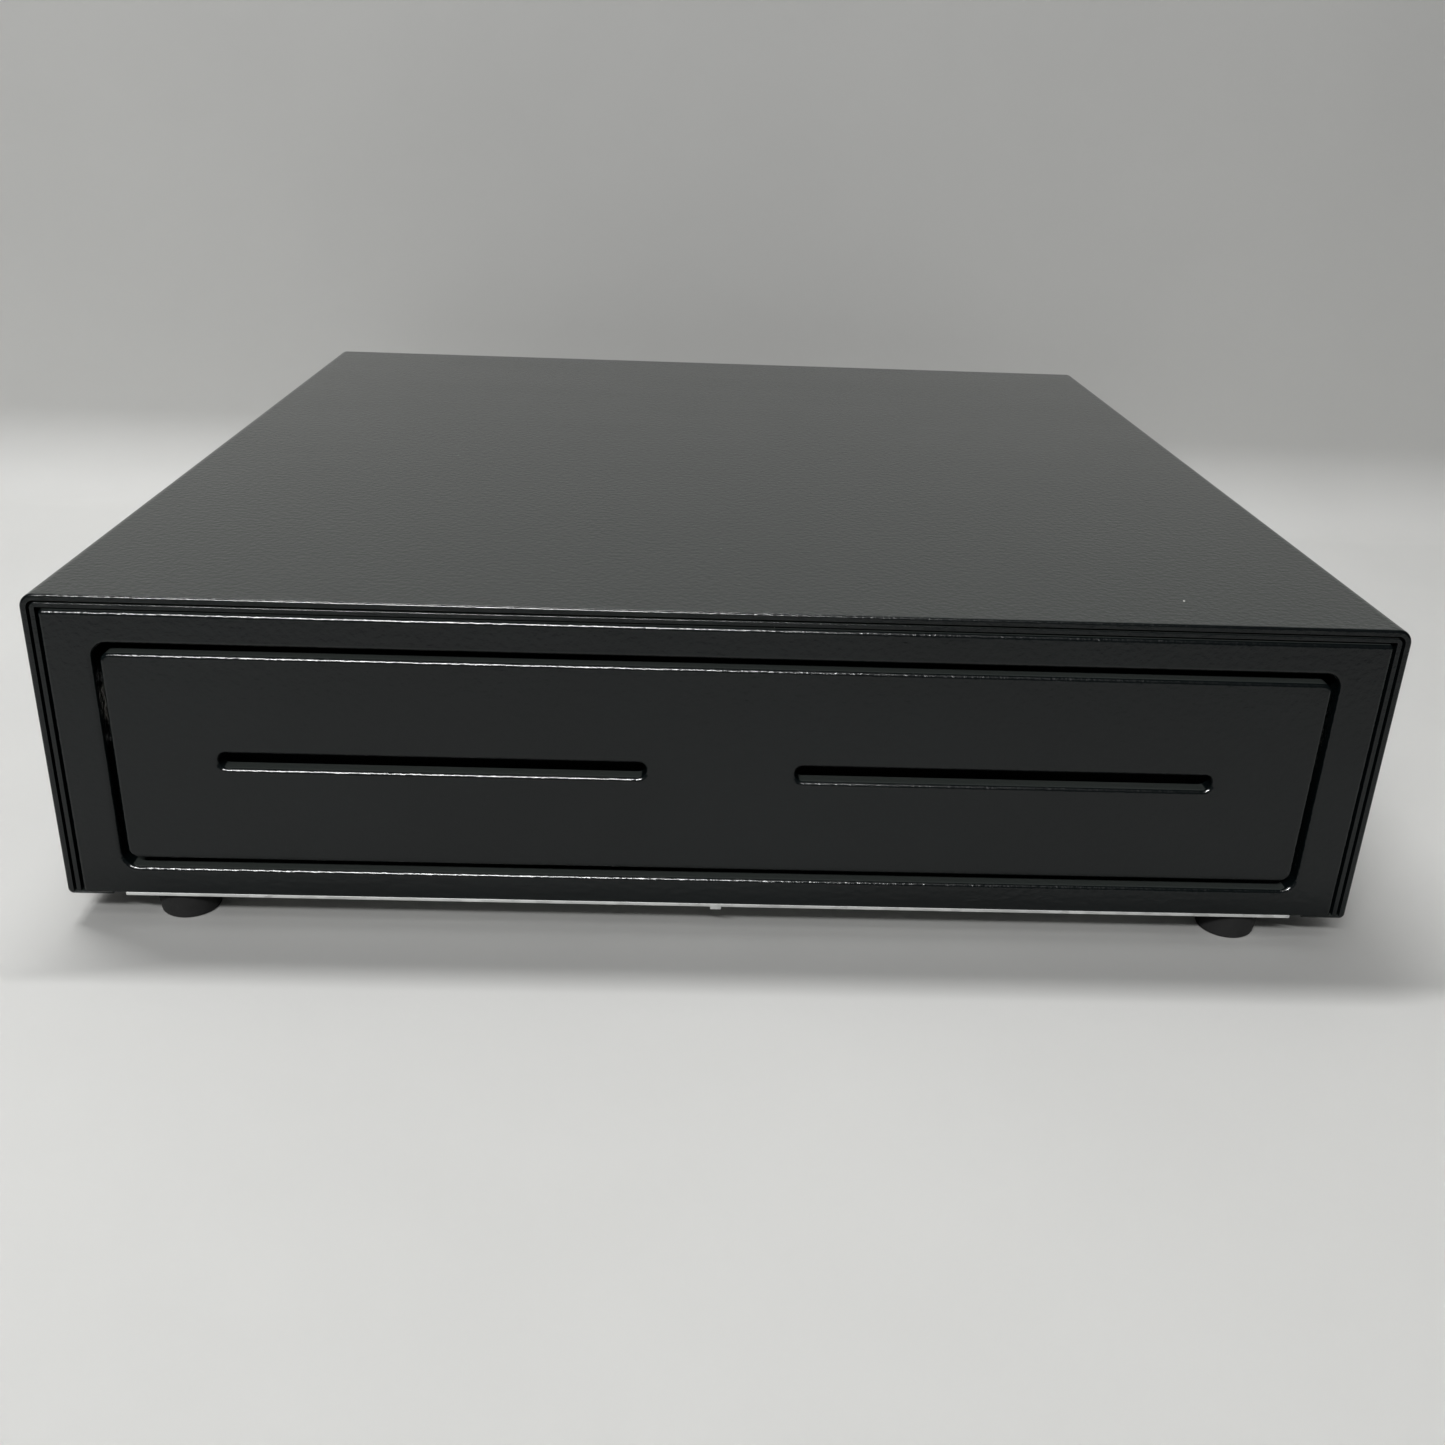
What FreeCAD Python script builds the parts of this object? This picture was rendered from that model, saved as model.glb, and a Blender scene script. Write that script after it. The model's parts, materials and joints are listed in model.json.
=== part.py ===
import FreeCAD
import Part
import Sketcher
import math
import os
import re

# Cash drawer: a folded steel cabinet on rubber feet, and a roller-borne drawer with a till inside.
# +X right, the drawer front faces -Y, +Z up. The origin is the middle of the footprint, on the floor.

DIMENSIONS = {
    # overall
    "width": 410,
    "depth": 415,
    "body_height": 100,
    "foot_height": 10,
    # cabinet shell
    "shell_sheet": 1.0,
    "shell_bend": 4.5,
    "shell_foot_bend": 1.8,
    "shell_flange": 14,
    "hem_depth": 12,
    "hem_round": 0.9,
    "rear_flange": 12,
    # front frame, between the hem and the bezel
    "hem_gap": 0.7,
    "frame_sheet": 1.5,
    "frame_inset": 0.3,
    "frame_depth": 15.5,
    "frame_web": 11,
    "bezel_gap": 0.6,
    # bezel
    "bezel_sheet": 1.2,
    "bezel_side": 13.7,
    "bezel_rail_top": 10,
    "bezel_sill": 9.2,
    "bezel_corner": 5,
    "bezel_outer_corner": 1.6,
    "bezel_lip": 8,
    "bezel_sill_return": 6,
    "edge_round": 1.4,
    # base pan
    "pan_sheet": 1.0,
    "pan_gap": 0.5,
    "pan_joggle": 3.7,
    "pan_strip_gap": 0.5,
    "pan_strip_start": 16.5,
    "pan_upturn": 16,
    "pan_tab_width": 3.5,
    "pan_tab_drop": 1,
    # rear panel and its fixings
    "panel_sheet": 1.0,
    "panel_gap": 0.1,
    "screw_radius": 2.0,
    "screw_hole": 2.2,
    "screw_head_radius": 4.0,
    "rear_screw_head": 1.5,
    "rear_screw_length": 7,
    "rear_screw_pitch": 150,
    "nut_radius": 4.0,
    "nut_height": 3.2,
    "nut_bore": 2.05,
    # feet
    "foot_side": 34,
    "foot_front": 12,
    "foot_rear": 16,
    "foot_top_radius": 10.5,
    "foot_tread_radius": 9.2,
    "foot_recess_radius": 4.6,
    "foot_recess": 5,
    "foot_round": 0.8,
    "foot_head": 2.6,
    "foot_screw_end": 5,
    # roller tracks, standing on brackets
    "opening_margin": 0.5,
    "rail_sheet": 1.2,
    "bracket_foot": 9.3,
    "bracket_start": 17,
    "track_start": 11,
    "track_rear_gap": 6,
    "rail_drop": 2.7,
    "track_reach": 12,
    "track_clear": 4.3,
    # rollers
    "roller_width": 6.8,
    "roller_chamfer": 0.6,
    "front_roller_radius": 9.0,
    "roller_head_play": 0.4,
    "roller_play": 0.3,
    "flange_play": 0.5,
    "axle_radius": 3.0,
    "axle_play": 0.05,
    "axle_head_radius": 4.8,
    "axle_head": 1.1,
    "axle_recess_radius": 5.2,
    "axle_recess": 1.4,
    "axle_collar_radius": 4.5,
    "axle_side_play": 0.2,
    "front_roller_set": 21.5,
    "rear_roller_set": 10,
    "stop_spacing": 26,
    "stop_lug": 1.5,
    "stop_height": 8,
    "bumper_length": 5.2,
    "bumper_gap": 0.1,
    # drawer front
    "front_side_gap": 2.1,
    "front_sill_gap": 3.2,
    "front_head_gap": 3.0,
    "front_sheet": 1.2,
    "front_corner": 3.3,
    "front_return": 10,
    "slot_edge": 31.4,
    "slot_apart": 46,
    "slot_opening": 5,
    "slot_lip": 5,
    # drawer tray and its rails
    "tray_sheet": 1.0,
    "tray_rail_gap": 9.5,
    "tray_lift": 1.3,
    "tray_drop": 9.7,
    "tray_rear_gap": 46,
    "tray_front_flange": 13,
    "tray_front_upturn": 15.5,
    "rail_flange_drop": 17.8,
    "rail_flange_end": 22,
    "stud_length": 7.3,
    "stud_inset": 7,
    "stud_low": 10,
    "stud_rise": 40,
    # media guide
    "guide_side_gap": 4,
    "guide_flange": 10,
    "guide_over_slot": 10.2,
    "guide_over_till": 4,
    "guide_reach": 18.3,
    "guide_fall": 22,
    # till
    "media_depth": 12.3,
    "ledge_width": 11,
    "ledge_leg": 7,
    "till_play": 1.4,
    "till_front_gap": 20.3,
    "till_rear_gap": 3,
    "till_wall": 2,
    "till_rim_gap": 0.5,
    "cup_bay": 122,
    "clip_bay": 24,
    "low_wall_drop": 16,
    "divider_thickness": 1.8,
    "divider_drop": 3,
    "divider_play": 0.2,
    "bay_count": 5,
    # coin cups
    "cup_play": 0.4,
    "cup_wall": 1.6,
    "cup_drop": 2,
    "cup_scoop": 14,
    "cup_corner": 3,
    # bill clips
    "rod_radius": 2.5,
    "rod_play": 0.06,
    "rod_set": 12,
    "rod_drop": 7,
    "clip_hub_radius": 4.5,
    "clip_hub_width": 24,
    "clip_sheet": 2,
    "clip_knee": 18,
    "clip_reach": 66,
    "clip_nose": 16,
    "clip_tip": 7,
    "clip_tip_rise": 3.5,
    "clip_rest": 0.5,
    "clip_arm_width": 20,
    "clip_nose_width": 46,
    "clip_spring_length": 12,
    "clip_spring_radius": 4.3,
    # latch and solenoid
    "latch_rise": 34,
    "bracket_left": -8,
    "bracket_right": 100,
    "bracket_sheet": 1.5,
    "bracket_rise": 23,
    "bracket_flange": 10,
    "bracket_depth": 36,
    "bracket_rear_gap": 1,
    "striker_sheet": 2,
    "striker_reach": 22,
    "striker_height": 14,
    "striker_window": 9,
    "striker_base_width": 28,
    "striker_base_height": 24,
    "latch_sheet": 3,
    "latch_offset": 9,
    "latch_arm_width": 6,
    "latch_arm": 27.5,
    "latch_tail": 6,
    "latch_tooth": 11,
    "latch_tooth_width": 5.5,
    "latch_tooth_set": 2,
    "latch_tooth_ramp": 3,
    "latch_release": 20,
    "pivot_radius": 3.0,
    "pivot_shoulder": 5,
    "pivot_head": 1.5,
    "pivot_side_play": 0.2,
    "pivot_rear_gap": 8,
    "link_arm": 14,
    "link_hole": 3.2,
    "link_pin": 1.5,
    "link_slack": 1,
    "plunger_radius": 4,
    "plunger_nose": 20,
    "plunger_length": 42,
    "plunger_collar": 6,
    "plunger_collar_width": 2,
    "plunger_blade": 3,
    "plunger_blade_sheet": 2,
    "plunger_stroke": 4.79,
    "coil_left": 30,
    "coil_length": 36,
    "coil_radius": 9,
    "coil_bore": 4.3,
    "coil_plate": 2,
    "coil_frame_sheet": 1.5,
    "coil_frame_width": 22,
    # drawer-open switch
    "switch_left": 76,
    "switch_length": 20,
    "switch_width": 10,
    "switch_height": 6.4,
    "switch_set": 12,
    "lever_radius": 2,
    "lever_pin": 0.8,
    "lever_reach": 15,
    "lever_sheet": 0.9,
    "lever_height": 3.6,
    "lever_gap": 0.5,
    "lever_ear": 1.2,
    "lever_ear_reach": 3.6,
    # ejector
    "ejector_x": -60,
    "ejector_rise": 39,
    "ejector_radius": 5,
    "ejector_play": 0.3,
    "ejector_housing_radius": 8,
    "ejector_housing_length": 28,
    "ejector_flange_radius": 12,
    "ejector_gap": 0.4,
    "ejector_head_radius": 6.5,
    "ejector_head": 3,
    "ejector_pin_length": 32,
    "spring_wire": 1,
    # cable socket
    "socket_x": -130,
    "socket_rise": 32,
    "socket_width": 14,
    "socket_height": 14,
    "socket_depth": 16,
    "port_width": 10,
    "port_height": 7.4,
    "port_depth": 13,
}

doc = FreeCAD.newDocument("CashDrawer")
sheet = doc.addObject("Spreadsheet::Sheet", "Dims")
for row, (alias, size) in enumerate(DIMENSIONS.items(), start=1):
    sheet.set(f"A{row}", alias)
    sheet.set(f"B{row}", str(size))
    sheet.setAlias(f"B{row}", alias)
doc.recompute()

# Places worked out from the dimensions, as formulas for the sheet.
FRONT = "(-depth / 2)"
SHELL_BACK = "(depth / 2 - rear_screw_head)"
BASE = "foot_height"
TOP = "(foot_height + body_height)"
INNER = "(width / 2 - shell_sheet)"
HEM = "(width / 2 - 2 * shell_sheet)"
FRAME_OUT = f"({HEM} - hem_gap)"
FRAME_IN = f"({FRAME_OUT} - frame_sheet)"
BEZEL_X = f"({FRAME_IN} - bezel_gap)"
BEZEL_TOP = f"({TOP} - 2 * shell_sheet - hem_gap - frame_sheet - bezel_gap)"
PAN_TOP = f"({BASE} + pan_sheet)"
OPEN_X = f"({BEZEL_X} - bezel_side)"
STRIP_LOW = f"({BASE} + shell_sheet)"
STRIP_TOP = f"({STRIP_LOW} + pan_sheet)"
BEZEL_LOW = f"({BASE} + max(shell_sheet; pan_sheet))"
OPEN_LOW = f"({BEZEL_LOW} + bezel_sill)"
OPEN_HIGH = f"({BEZEL_TOP} - bezel_rail_top)"
PAN_X = "(width / 2 - shell_flange - pan_gap)"
PLATE_X = f"({PAN_X} - pan_joggle)"
PANEL_BACK = f"({SHELL_BACK} - shell_sheet)"
PANEL_FRONT = f"({PANEL_BACK} - panel_sheet)"
FOOT_X = "(width / 2 - foot_side)"
DRAWER_X = f"({OPEN_X} - front_side_gap)"
DRAWER_LOW = f"({OPEN_LOW} + front_sill_gap)"
DRAWER_HIGH = f"({OPEN_HIGH} - front_head_gap)"
TRAY_X = f"({OPEN_X} - tray_rail_gap)"
TRAY_LOW = f"({DRAWER_LOW} + tray_lift)"
TRAY_FLOOR = f"({TRAY_LOW} + tray_sheet)"
TRAY_TOP = f"({DRAWER_HIGH} - tray_drop)"
SLOT_LEVEL = f"(({DRAWER_LOW} + {DRAWER_HIGH}) / 2)"
SLOT_IN = "(slot_apart / 2)"
SLOT_OUT = f"({DRAWER_X} - slot_edge)"
TRAY_FRONT = f"({FRONT} + front_sheet)"
TRAY_BACK = f"({SHELL_BACK} - tray_rear_gap)"
RAIL_OUT = f"({OPEN_X} - opening_margin)"
ROLLER_IN = f"({RAIL_OUT} - roller_width)"
TRACK_WEB = f"({RAIL_OUT} + track_clear)"
TRACK_OUT = f"({TRACK_WEB} + rail_sheet)"
FRONT_ROLLER_Y = f"({FRONT} + front_roller_set)"
REAR_ROLLER_Y = f"({TRAY_BACK} - rear_roller_set)"
RAIL_HIGH = f"({TRAY_TOP} - rail_drop)"
RAIL_LOW = f"({RAIL_HIGH} - rail_sheet)"
FRONT_ROLLER_Z = f"({RAIL_LOW} - roller_play - front_roller_radius)"
TRACK_LEVEL = f"({FRONT_ROLLER_Z} - front_roller_radius - roller_play)"
TRACK_HIGH = f"({RAIL_HIGH} + flange_play)"
REAR_RADIUS = f"(({TRACK_HIGH} - {TRACK_LEVEL} - roller_play - roller_head_play) / 2)"
REAR_ROLLER_Z = f"({TRACK_LEVEL} + roller_play + {REAR_RADIUS})"
STOP_Y = f"({FRONT_ROLLER_Y} + stop_spacing - {REAR_RADIUS} - bumper_gap)"
TILL_LOW = f"({TRAY_FLOOR} + media_depth)"
TILL_FLOOR = f"({TILL_LOW} + till_wall)"
TILL_TOP = f"({TRAY_TOP} - till_rim_gap)"
TILL_X = f"({TRAY_X} - tray_sheet - till_play)"
TILL_FRONT = f"({TRAY_FRONT} + till_front_gap)"
TILL_BACK = f"({TRAY_BACK} - tray_sheet - till_rear_gap)"
BAY_X = f"({TILL_X} - till_wall)"
CUP_BACK = f"({TILL_FRONT} + till_wall + cup_bay)"
BILL_FRONT = f"({CUP_BACK} + till_wall)"
CLIP_BACK = f"({TILL_BACK} - till_wall)"
CLIP_FRONT = f"({CLIP_BACK} - clip_bay)"
BILL_BACK = f"({CLIP_FRONT} - till_wall)"
BAY_PITCH = f"((2 * {BAY_X} + divider_thickness) / bay_count)"
CUP_PITCH = f"(2 * {BAY_X} / bay_count)"
ROD_Y = f"({CLIP_BACK} - rod_set)"
ROD_Z = f"({TILL_TOP} - rod_drop)"
PIVOT_Y = f"({PANEL_FRONT} - pivot_rear_gap)"
LATCH_LEVEL = f"({PAN_TOP} + latch_rise)"
LATCH_LOW = f"({LATCH_LEVEL} - latch_sheet / 2)"
LATCH_HIGH = f"({LATCH_LEVEL} + latch_sheet / 2)"
BRACKET_TOP = f"({PAN_TOP} + bracket_rise)"
SOCKET_LEVEL = f"({PAN_TOP} + socket_rise)"
LINK_Y = f"({PIVOT_Y} - link_arm + link_slack)"
LINK_X = "(latch_offset + plunger_stroke)"
SWITCH_FRONT = f"({TRAY_BACK} + switch_set)"

REAR_SCREWS = (
    ("-rear_screw_pitch", f"{TOP} - shell_sheet - rear_flange / 2"),
    ("0", f"{TOP} - shell_sheet - rear_flange / 2"),
    ("rear_screw_pitch", f"{TOP} - shell_sheet - rear_flange / 2"),
    (f"-({INNER} - rear_flange / 2)", f"{BASE} + body_height / 2"),
    (f"{INNER} - rear_flange / 2", f"{BASE} + body_height / 2"),
    ("-rear_screw_pitch", f"{BASE} + pan_upturn / 2"),
    ("0", f"{BASE} + pan_upturn / 2"),
    ("rear_screw_pitch", f"{BASE} + pan_upturn / 2"),
)
FEET = tuple(
    (f"{side} * {FOOT_X}", place)
    for side in (-1, 1)
    for place in (f"{FRONT} + foot_front", f"{SHELL_BACK} - foot_rear")
)
SIDES = (("left", -1), ("right", 1))
nodes = []


def bound(formula):
    """Points each dimension name in a formula at its cell in the sheet."""
    def cell(word):
        return "Dims." + word[0] if word[0] in DIMENSIONS else word[0]
    return re.sub(r"[a-z][a-z_]+", cell, str(formula))


def keep(thing):
    """Marks a finished sub-part: its label is its node's name."""
    nodes.append(thing)
    return thing


def new_body(label):
    body = doc.addObject("PartDesign::Body", label)
    body.Label = label
    return body


def sketch_on(body, role, offset):
    plane = next(feature for feature in body.Origin.OriginFeatures if feature.Role == role)
    sketch = body.newObject("Sketcher::SketchObject", "Sketch")
    sketch.AttachmentSupport = (plane, [""])
    sketch.MapMode = "FlatFace"
    sketch.setExpression("AttachmentOffset.Base.z", bound(offset))
    return sketch


def pin_point(sketch, geometry, point, x, y):
    for kind, formula in (("DistanceX", x), ("DistanceY", y)):
        number = sketch.addConstraint(Sketcher.Constraint(kind, -1, 1, geometry, point, 1.0))
        sketch.setExpression(f"Constraints[{number}]", bound(formula))


def add_outline(sketch, points):
    """A closed polygon whose corners are each placed by two formulas."""
    first = sketch.GeometryCount
    count = len(points)
    corners = [
        FreeCAD.Vector(math.cos(2 * math.pi * step / count), math.sin(2 * math.pi * step / count), 0)
        for step in range(count + 1)
    ]
    sketch.addGeometry([Part.LineSegment(corners[step], corners[step + 1]) for step in range(count)])
    for step in range(count):
        following = first + (step + 1) % count
        sketch.addConstraint(Sketcher.Constraint("Coincident", first + step, 2, following, 1))
    for step, (x, y) in enumerate(points):
        pin_point(sketch, first + step, 1, x, y)


def add_circle(sketch, x, y, radius):
    number = sketch.addGeometry(Part.Circle(FreeCAD.Vector(0, 0, 0), FreeCAD.Vector(0, 0, 1), 1.0))
    pin_point(sketch, number, 3, x, y)
    size = sketch.addConstraint(Sketcher.Constraint("Radius", number, 1.0))
    sketch.setExpression(f"Constraints[{size}]", bound(radius))


def draw(sketch, shapes):
    for shape in shapes:
        if isinstance(shape, list):
            add_outline(sketch, shape)
        else:
            add_circle(sketch, *shape)


def pad(body, role, shapes, low, high):
    """Fills the shapes from low to high along the plane's own axis."""
    start = f"-({high})" if role == "XZ_Plane" else low
    sketch = sketch_on(body, role, start)
    draw(sketch, shapes)
    feature = body.newObject("PartDesign::Pad", "Pad")
    feature.Profile = sketch
    feature.setExpression("Length", bound(f"({high}) - ({low})"))
    doc.recompute()
    return feature


def pocket(body, role, shapes, low, high):
    """Cuts the shapes out from low to high along the plane's own axis."""
    start = f"-({low})" if role == "XZ_Plane" else high
    sketch = sketch_on(body, role, start)
    draw(sketch, shapes)
    before = body.Tip.Shape.Volume
    feature = body.newObject("PartDesign::Pocket", "Pocket")
    feature.Profile = sketch
    feature.setExpression("Length", bound(f"({high}) - ({low})"))
    doc.recompute()
    if not feature.Shape.Volume < before:
        raise RuntimeError(body.Label + ": a pocket cut nothing")
    return feature


def revolve(body, role, points, axis):
    sketch = sketch_on(body, role, "0")
    add_outline(sketch, points)
    feature = body.newObject("PartDesign::Revolution", "Revolution")
    feature.Profile = sketch
    feature.ReferenceAxis = (sketch, [axis])
    feature.Angle = 360
    doc.recompute()
    return feature


def fillet(body, radius, wanted):
    """Rounds the tip's edges that the test picks, from each edge's box and the whole part's box."""
    tip = body.Tip
    whole = tip.Shape.BoundBox
    names = [
        f"Edge{number}"
        for number, edge in enumerate(tip.Shape.Edges, start=1)
        if wanted(edge.BoundBox, whole)
    ]
    feature = body.newObject("PartDesign::Fillet", "Fillet")
    feature.Base = (tip, names)
    feature.setExpression("Radius", bound(radius))
    doc.recompute()
    return feature


def near(first, second, gap=0.02):
    return abs(first - second) < gap


def along(box, axis):
    lengths = {"x": box.XLength, "y": box.YLength, "z": box.ZLength}
    return lengths.pop(axis) > 0.01 and max(lengths.values()) < 0.01


def rectangle(x_low, x_high, y_low, y_high):
    return [(x_low, y_low), (x_high, y_low), (x_high, y_high), (x_low, y_high)]


def arch(half, low, high, wall):
    """An upside-down U of the given wall, open at the bottom."""
    return [
        (f"-({half})", low), (f"-({half})", high), (half, high), (half, low),
        (f"{half} - {wall}", low), (f"{half} - {wall}", f"{high} - {wall}"),
        (f"-({half} - {wall})", f"{high} - {wall}"), (f"-({half} - {wall})", low),
    ]


def prism(label, role, shapes, low, high):
    body = new_body(label)
    pad(body, role, shapes, low, high)
    return body


def box(label, x, y, z):
    solid = doc.addObject("Part::Box", label)
    for side, axis, (low, high) in (("Length", "x", x), ("Width", "y", y), ("Height", "z", z)):
        solid.setExpression(side, bound(f"({high}) - ({low})"))
        solid.setExpression("Placement.Base." + axis, bound(low))
    return solid


TURNS = {
    "x": FreeCAD.Rotation(FreeCAD.Vector(0, 1, 0), 90),
    "y": FreeCAD.Rotation(FreeCAD.Vector(1, 0, 0), -90),
    "z": FreeCAD.Rotation(),
}


def place_along(solid, axis, centre, low):
    """Stands a solid along an axis from low, with the other two coordinates in centre."""
    solid.Placement = FreeCAD.Placement(FreeCAD.Vector(0, 0, 0), TURNS[axis])
    others = iter(centre)
    for name in "xyz":
        formula = low if name == axis else next(others)
        solid.setExpression("Placement.Base." + name, bound(formula))


def cylinder(label, axis, centre, radius, low, high):
    solid = doc.addObject("Part::Cylinder", label)
    solid.setExpression("Radius", bound(radius))
    solid.setExpression("Height", bound(f"({high}) - ({low})"))
    place_along(solid, axis, centre, low)
    return solid


def hexagon(label, axis, centre, radius, low, high):
    solid = doc.addObject("Part::Prism", label)
    solid.Polygon = 6
    solid.setExpression("Circumradius", bound(radius))
    solid.setExpression("Height", bound(f"({high}) - ({low})"))
    place_along(solid, axis, centre, low)
    return solid


def fuse(label, solids):
    union = doc.addObject("Part::MultiFuse", label)
    union.Shapes = solids
    union.Refine = True
    return union


def cut(label, base, tool):
    difference = doc.addObject("Part::Cut", label)
    difference.Base = base
    difference.Tool = tool
    return difference


def group(label, solids):
    compound = doc.addObject("Part::Compound", label)
    compound.Links = solids
    return compound


def tube(label, axis, centre, radius, bore, low, high):
    outer = cylinder(label + "_outer", axis, centre, radius, low, high)
    inner = cylinder(label + "_bore", axis, centre, bore, low, high)
    return cut(label, outer, inner)


def nut(label, axis, centre, low, high):
    blank = hexagon(label + "_blank", axis, centre, "nut_radius", low, high)
    thread = cylinder(label + "_thread", axis, centre, "nut_bore", low, high)
    return cut(label, blank, thread)


# ---------------------------------------------------------------- cabinet

def cabinet_shell():
    """Top and sides in one sheet, return flanges below, hemmed at the front, flanged at the back."""
    body = new_body("cabinet_shell")
    half = "width / 2"
    toe = f"{half} - shell_flange"
    section = [
        (f"-({toe})", BASE), (f"-({half})", BASE), (f"-({half})", TOP), (half, TOP), (half, BASE),
        (toe, BASE), (toe, f"{BASE} + shell_sheet"), (INNER, f"{BASE} + shell_sheet"),
        (INNER, f"{TOP} - shell_sheet"), (f"-{INNER}", f"{TOP} - shell_sheet"),
        (f"-{INNER}", f"{BASE} + shell_sheet"), (f"-({toe})", f"{BASE} + shell_sheet"),
    ]
    pad(body, "XZ_Plane", [section], FRONT, SHELL_BACK)
    hem = arch(INNER, f"{BASE} + shell_sheet", f"{TOP} - shell_sheet", "shell_sheet")
    pad(body, "XZ_Plane", [hem], FRONT, f"{FRONT} + hem_depth")
    rim = arch(INNER, f"{BASE} + shell_sheet", f"{TOP} - shell_sheet", "rear_flange")
    pad(body, "XZ_Plane", [rim], PANEL_BACK, SHELL_BACK)
    holes = [(x, z, "screw_hole") for x, z in REAR_SCREWS[:5]]
    pocket(body, "XZ_Plane", holes, PANEL_BACK, SHELL_BACK)
    bend = sheet.shell_bend
    wall = sheet.shell_sheet
    bends = ("shell_bend", "shell_bend - shell_sheet", "shell_bend - 2 * shell_sheet")
    for layer, radius in enumerate(bends):
        fillet(body, radius, lambda edge, whole, skin=layer * wall: along(edge, "y")
               and near(edge.ZMax, whole.ZMax - skin) and near(abs(edge.XMax), whole.XMax - skin))
    fillet(body, "shell_foot_bend", lambda edge, whole: along(edge, "y")
           and near(edge.ZMax, whole.ZMin) and near(abs(edge.XMax), whole.XMax))
    fillet(body, "hem_round", lambda edge, whole: near(edge.YMax, whole.YMin)
           and (near(edge.ZMax, whole.ZMax) or near(edge.XMax, whole.XMax) or near(edge.XMin, whole.XMin)))
    return keep(body)


def front_frame():
    """A strip folded round the bezel, with a web behind that reaches the shell."""
    body = new_body("front_frame")
    band = arch(FRAME_OUT, f"{BASE} + shell_sheet", f"{TOP} - 2 * shell_sheet - hem_gap", "frame_sheet")
    pad(body, "XZ_Plane", [band], f"{FRONT} + frame_inset", f"{FRONT} + frame_depth")
    web = arch(INNER, f"{BASE} + shell_sheet", f"{TOP} - shell_sheet", "frame_web")
    pad(body, "XZ_Plane", [web], f"{FRONT} + frame_depth - frame_sheet", f"{FRONT} + frame_depth")
    fillet(body, "shell_bend", lambda edge, whole: along(edge, "y")
           and near(edge.ZMax, whole.ZMax) and near(abs(edge.XMax), whole.XMax))
    inset = sheet.shell_sheet + sheet.hem_gap
    fillet(body, "shell_bend - 2 * shell_sheet - hem_gap", lambda edge, whole: along(edge, "y")
           and near(edge.ZMax, whole.ZMax - inset) and near(abs(edge.XMax), whole.XMax - inset))
    return keep(body)


def front_bezel():
    """A pressed frame: flat face, returns to the back, and a rounded lip round the opening."""
    body = new_body("front_bezel")
    skin = "bezel_sheet"
    opening = rectangle(f"-{OPEN_X}", OPEN_X, OPEN_LOW, OPEN_HIGH)
    face = rectangle(f"-{BEZEL_X}", BEZEL_X, BEZEL_LOW, BEZEL_TOP)
    pad(body, "XZ_Plane", [face, opening], FRONT, f"{FRONT} + {skin}")
    returns = arch(BEZEL_X, BEZEL_LOW, BEZEL_TOP, skin)
    pad(body, "XZ_Plane", [returns], FRONT, f"{FRONT} + frame_depth - frame_sheet")
    sill = rectangle(f"-{BEZEL_X}", BEZEL_X, BEZEL_LOW, f"{BEZEL_LOW} + {skin}")
    pad(body, "XZ_Plane", [sill], FRONT, f"{FRONT} + bezel_sill_return")
    lip = rectangle(f"-({OPEN_X} + {skin})", f"{OPEN_X} + {skin}", f"{OPEN_LOW} - {skin}",
                    f"{OPEN_HIGH} + {skin}")
    pad(body, "XZ_Plane", [lip, opening], FRONT, f"{FRONT} + bezel_lip")
    low = sheet.foot_height + max(sheet.shell_sheet, sheet.pan_sheet) + sheet.bezel_sill
    fillet(body, "bezel_corner", lambda edge, whole: along(edge, "y")
           and near(abs(edge.XMax), whole.XMax - sheet.bezel_side)
           and (near(edge.ZMax, low) or near(edge.ZMax, whole.ZMax - sheet.bezel_rail_top)))
    fillet(body, f"bezel_corner + {skin}", lambda edge, whole: along(edge, "y")
           and near(abs(edge.XMax), whole.XMax - sheet.bezel_side + sheet.bezel_sheet))
    fillet(body, "bezel_outer_corner", lambda edge, whole: along(edge, "y")
           and near(abs(edge.XMax), whole.XMax) and near(edge.ZMax, whole.ZMax))
    fillet(body, "edge_round", lambda edge, whole: near(edge.YMax, whole.YMin)
           and edge.ZMin > whole.ZMin + 1)
    return keep(body)


def base_pan():
    """A bare plate, joggled up over the shell's flanges, turned up at the back."""
    body = new_body("base_pan")
    plate = rectangle(f"-{PLATE_X}", PLATE_X, FRONT, SHELL_BACK)
    pad(body, "XY_Plane", [plate], BASE, PAN_TOP)
    strip_y = (f"{FRONT} + pan_strip_start", f"{PANEL_FRONT} - panel_gap")
    for side in (-1, 1):
        inner_x, outer_x = f"{side} * {PLATE_X}", f"{side} * {PAN_X}"
        slope = [(inner_x, BASE), (outer_x, STRIP_LOW), (outer_x, STRIP_TOP), (inner_x, PAN_TOP)]
        pad(body, "XZ_Plane", [slope], *strip_y)
        strip = rectangle(outer_x, f"{side} * ({INNER} - pan_strip_gap)", *strip_y)
        pad(body, "XY_Plane", [strip], STRIP_LOW, STRIP_TOP)
    upturn = rectangle(f"-{PLATE_X}", PLATE_X, BASE, f"{BASE} + pan_upturn")
    pad(body, "XZ_Plane", [upturn], PANEL_BACK, SHELL_BACK)
    tab = rectangle("-pan_tab_width / 2", "pan_tab_width / 2", f"{BASE} - pan_tab_drop", BASE)
    pad(body, "XZ_Plane", [tab], FRONT, f"{FRONT} + pan_sheet")
    pocket(body, "XY_Plane", [(x, y, "screw_hole") for x, y in FEET], BASE, PAN_TOP)
    holes = [(x, z, "screw_hole") for x, z in REAR_SCREWS[5:]]
    pocket(body, "XZ_Plane", holes, PANEL_BACK, SHELL_BACK)
    return keep(body)


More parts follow.
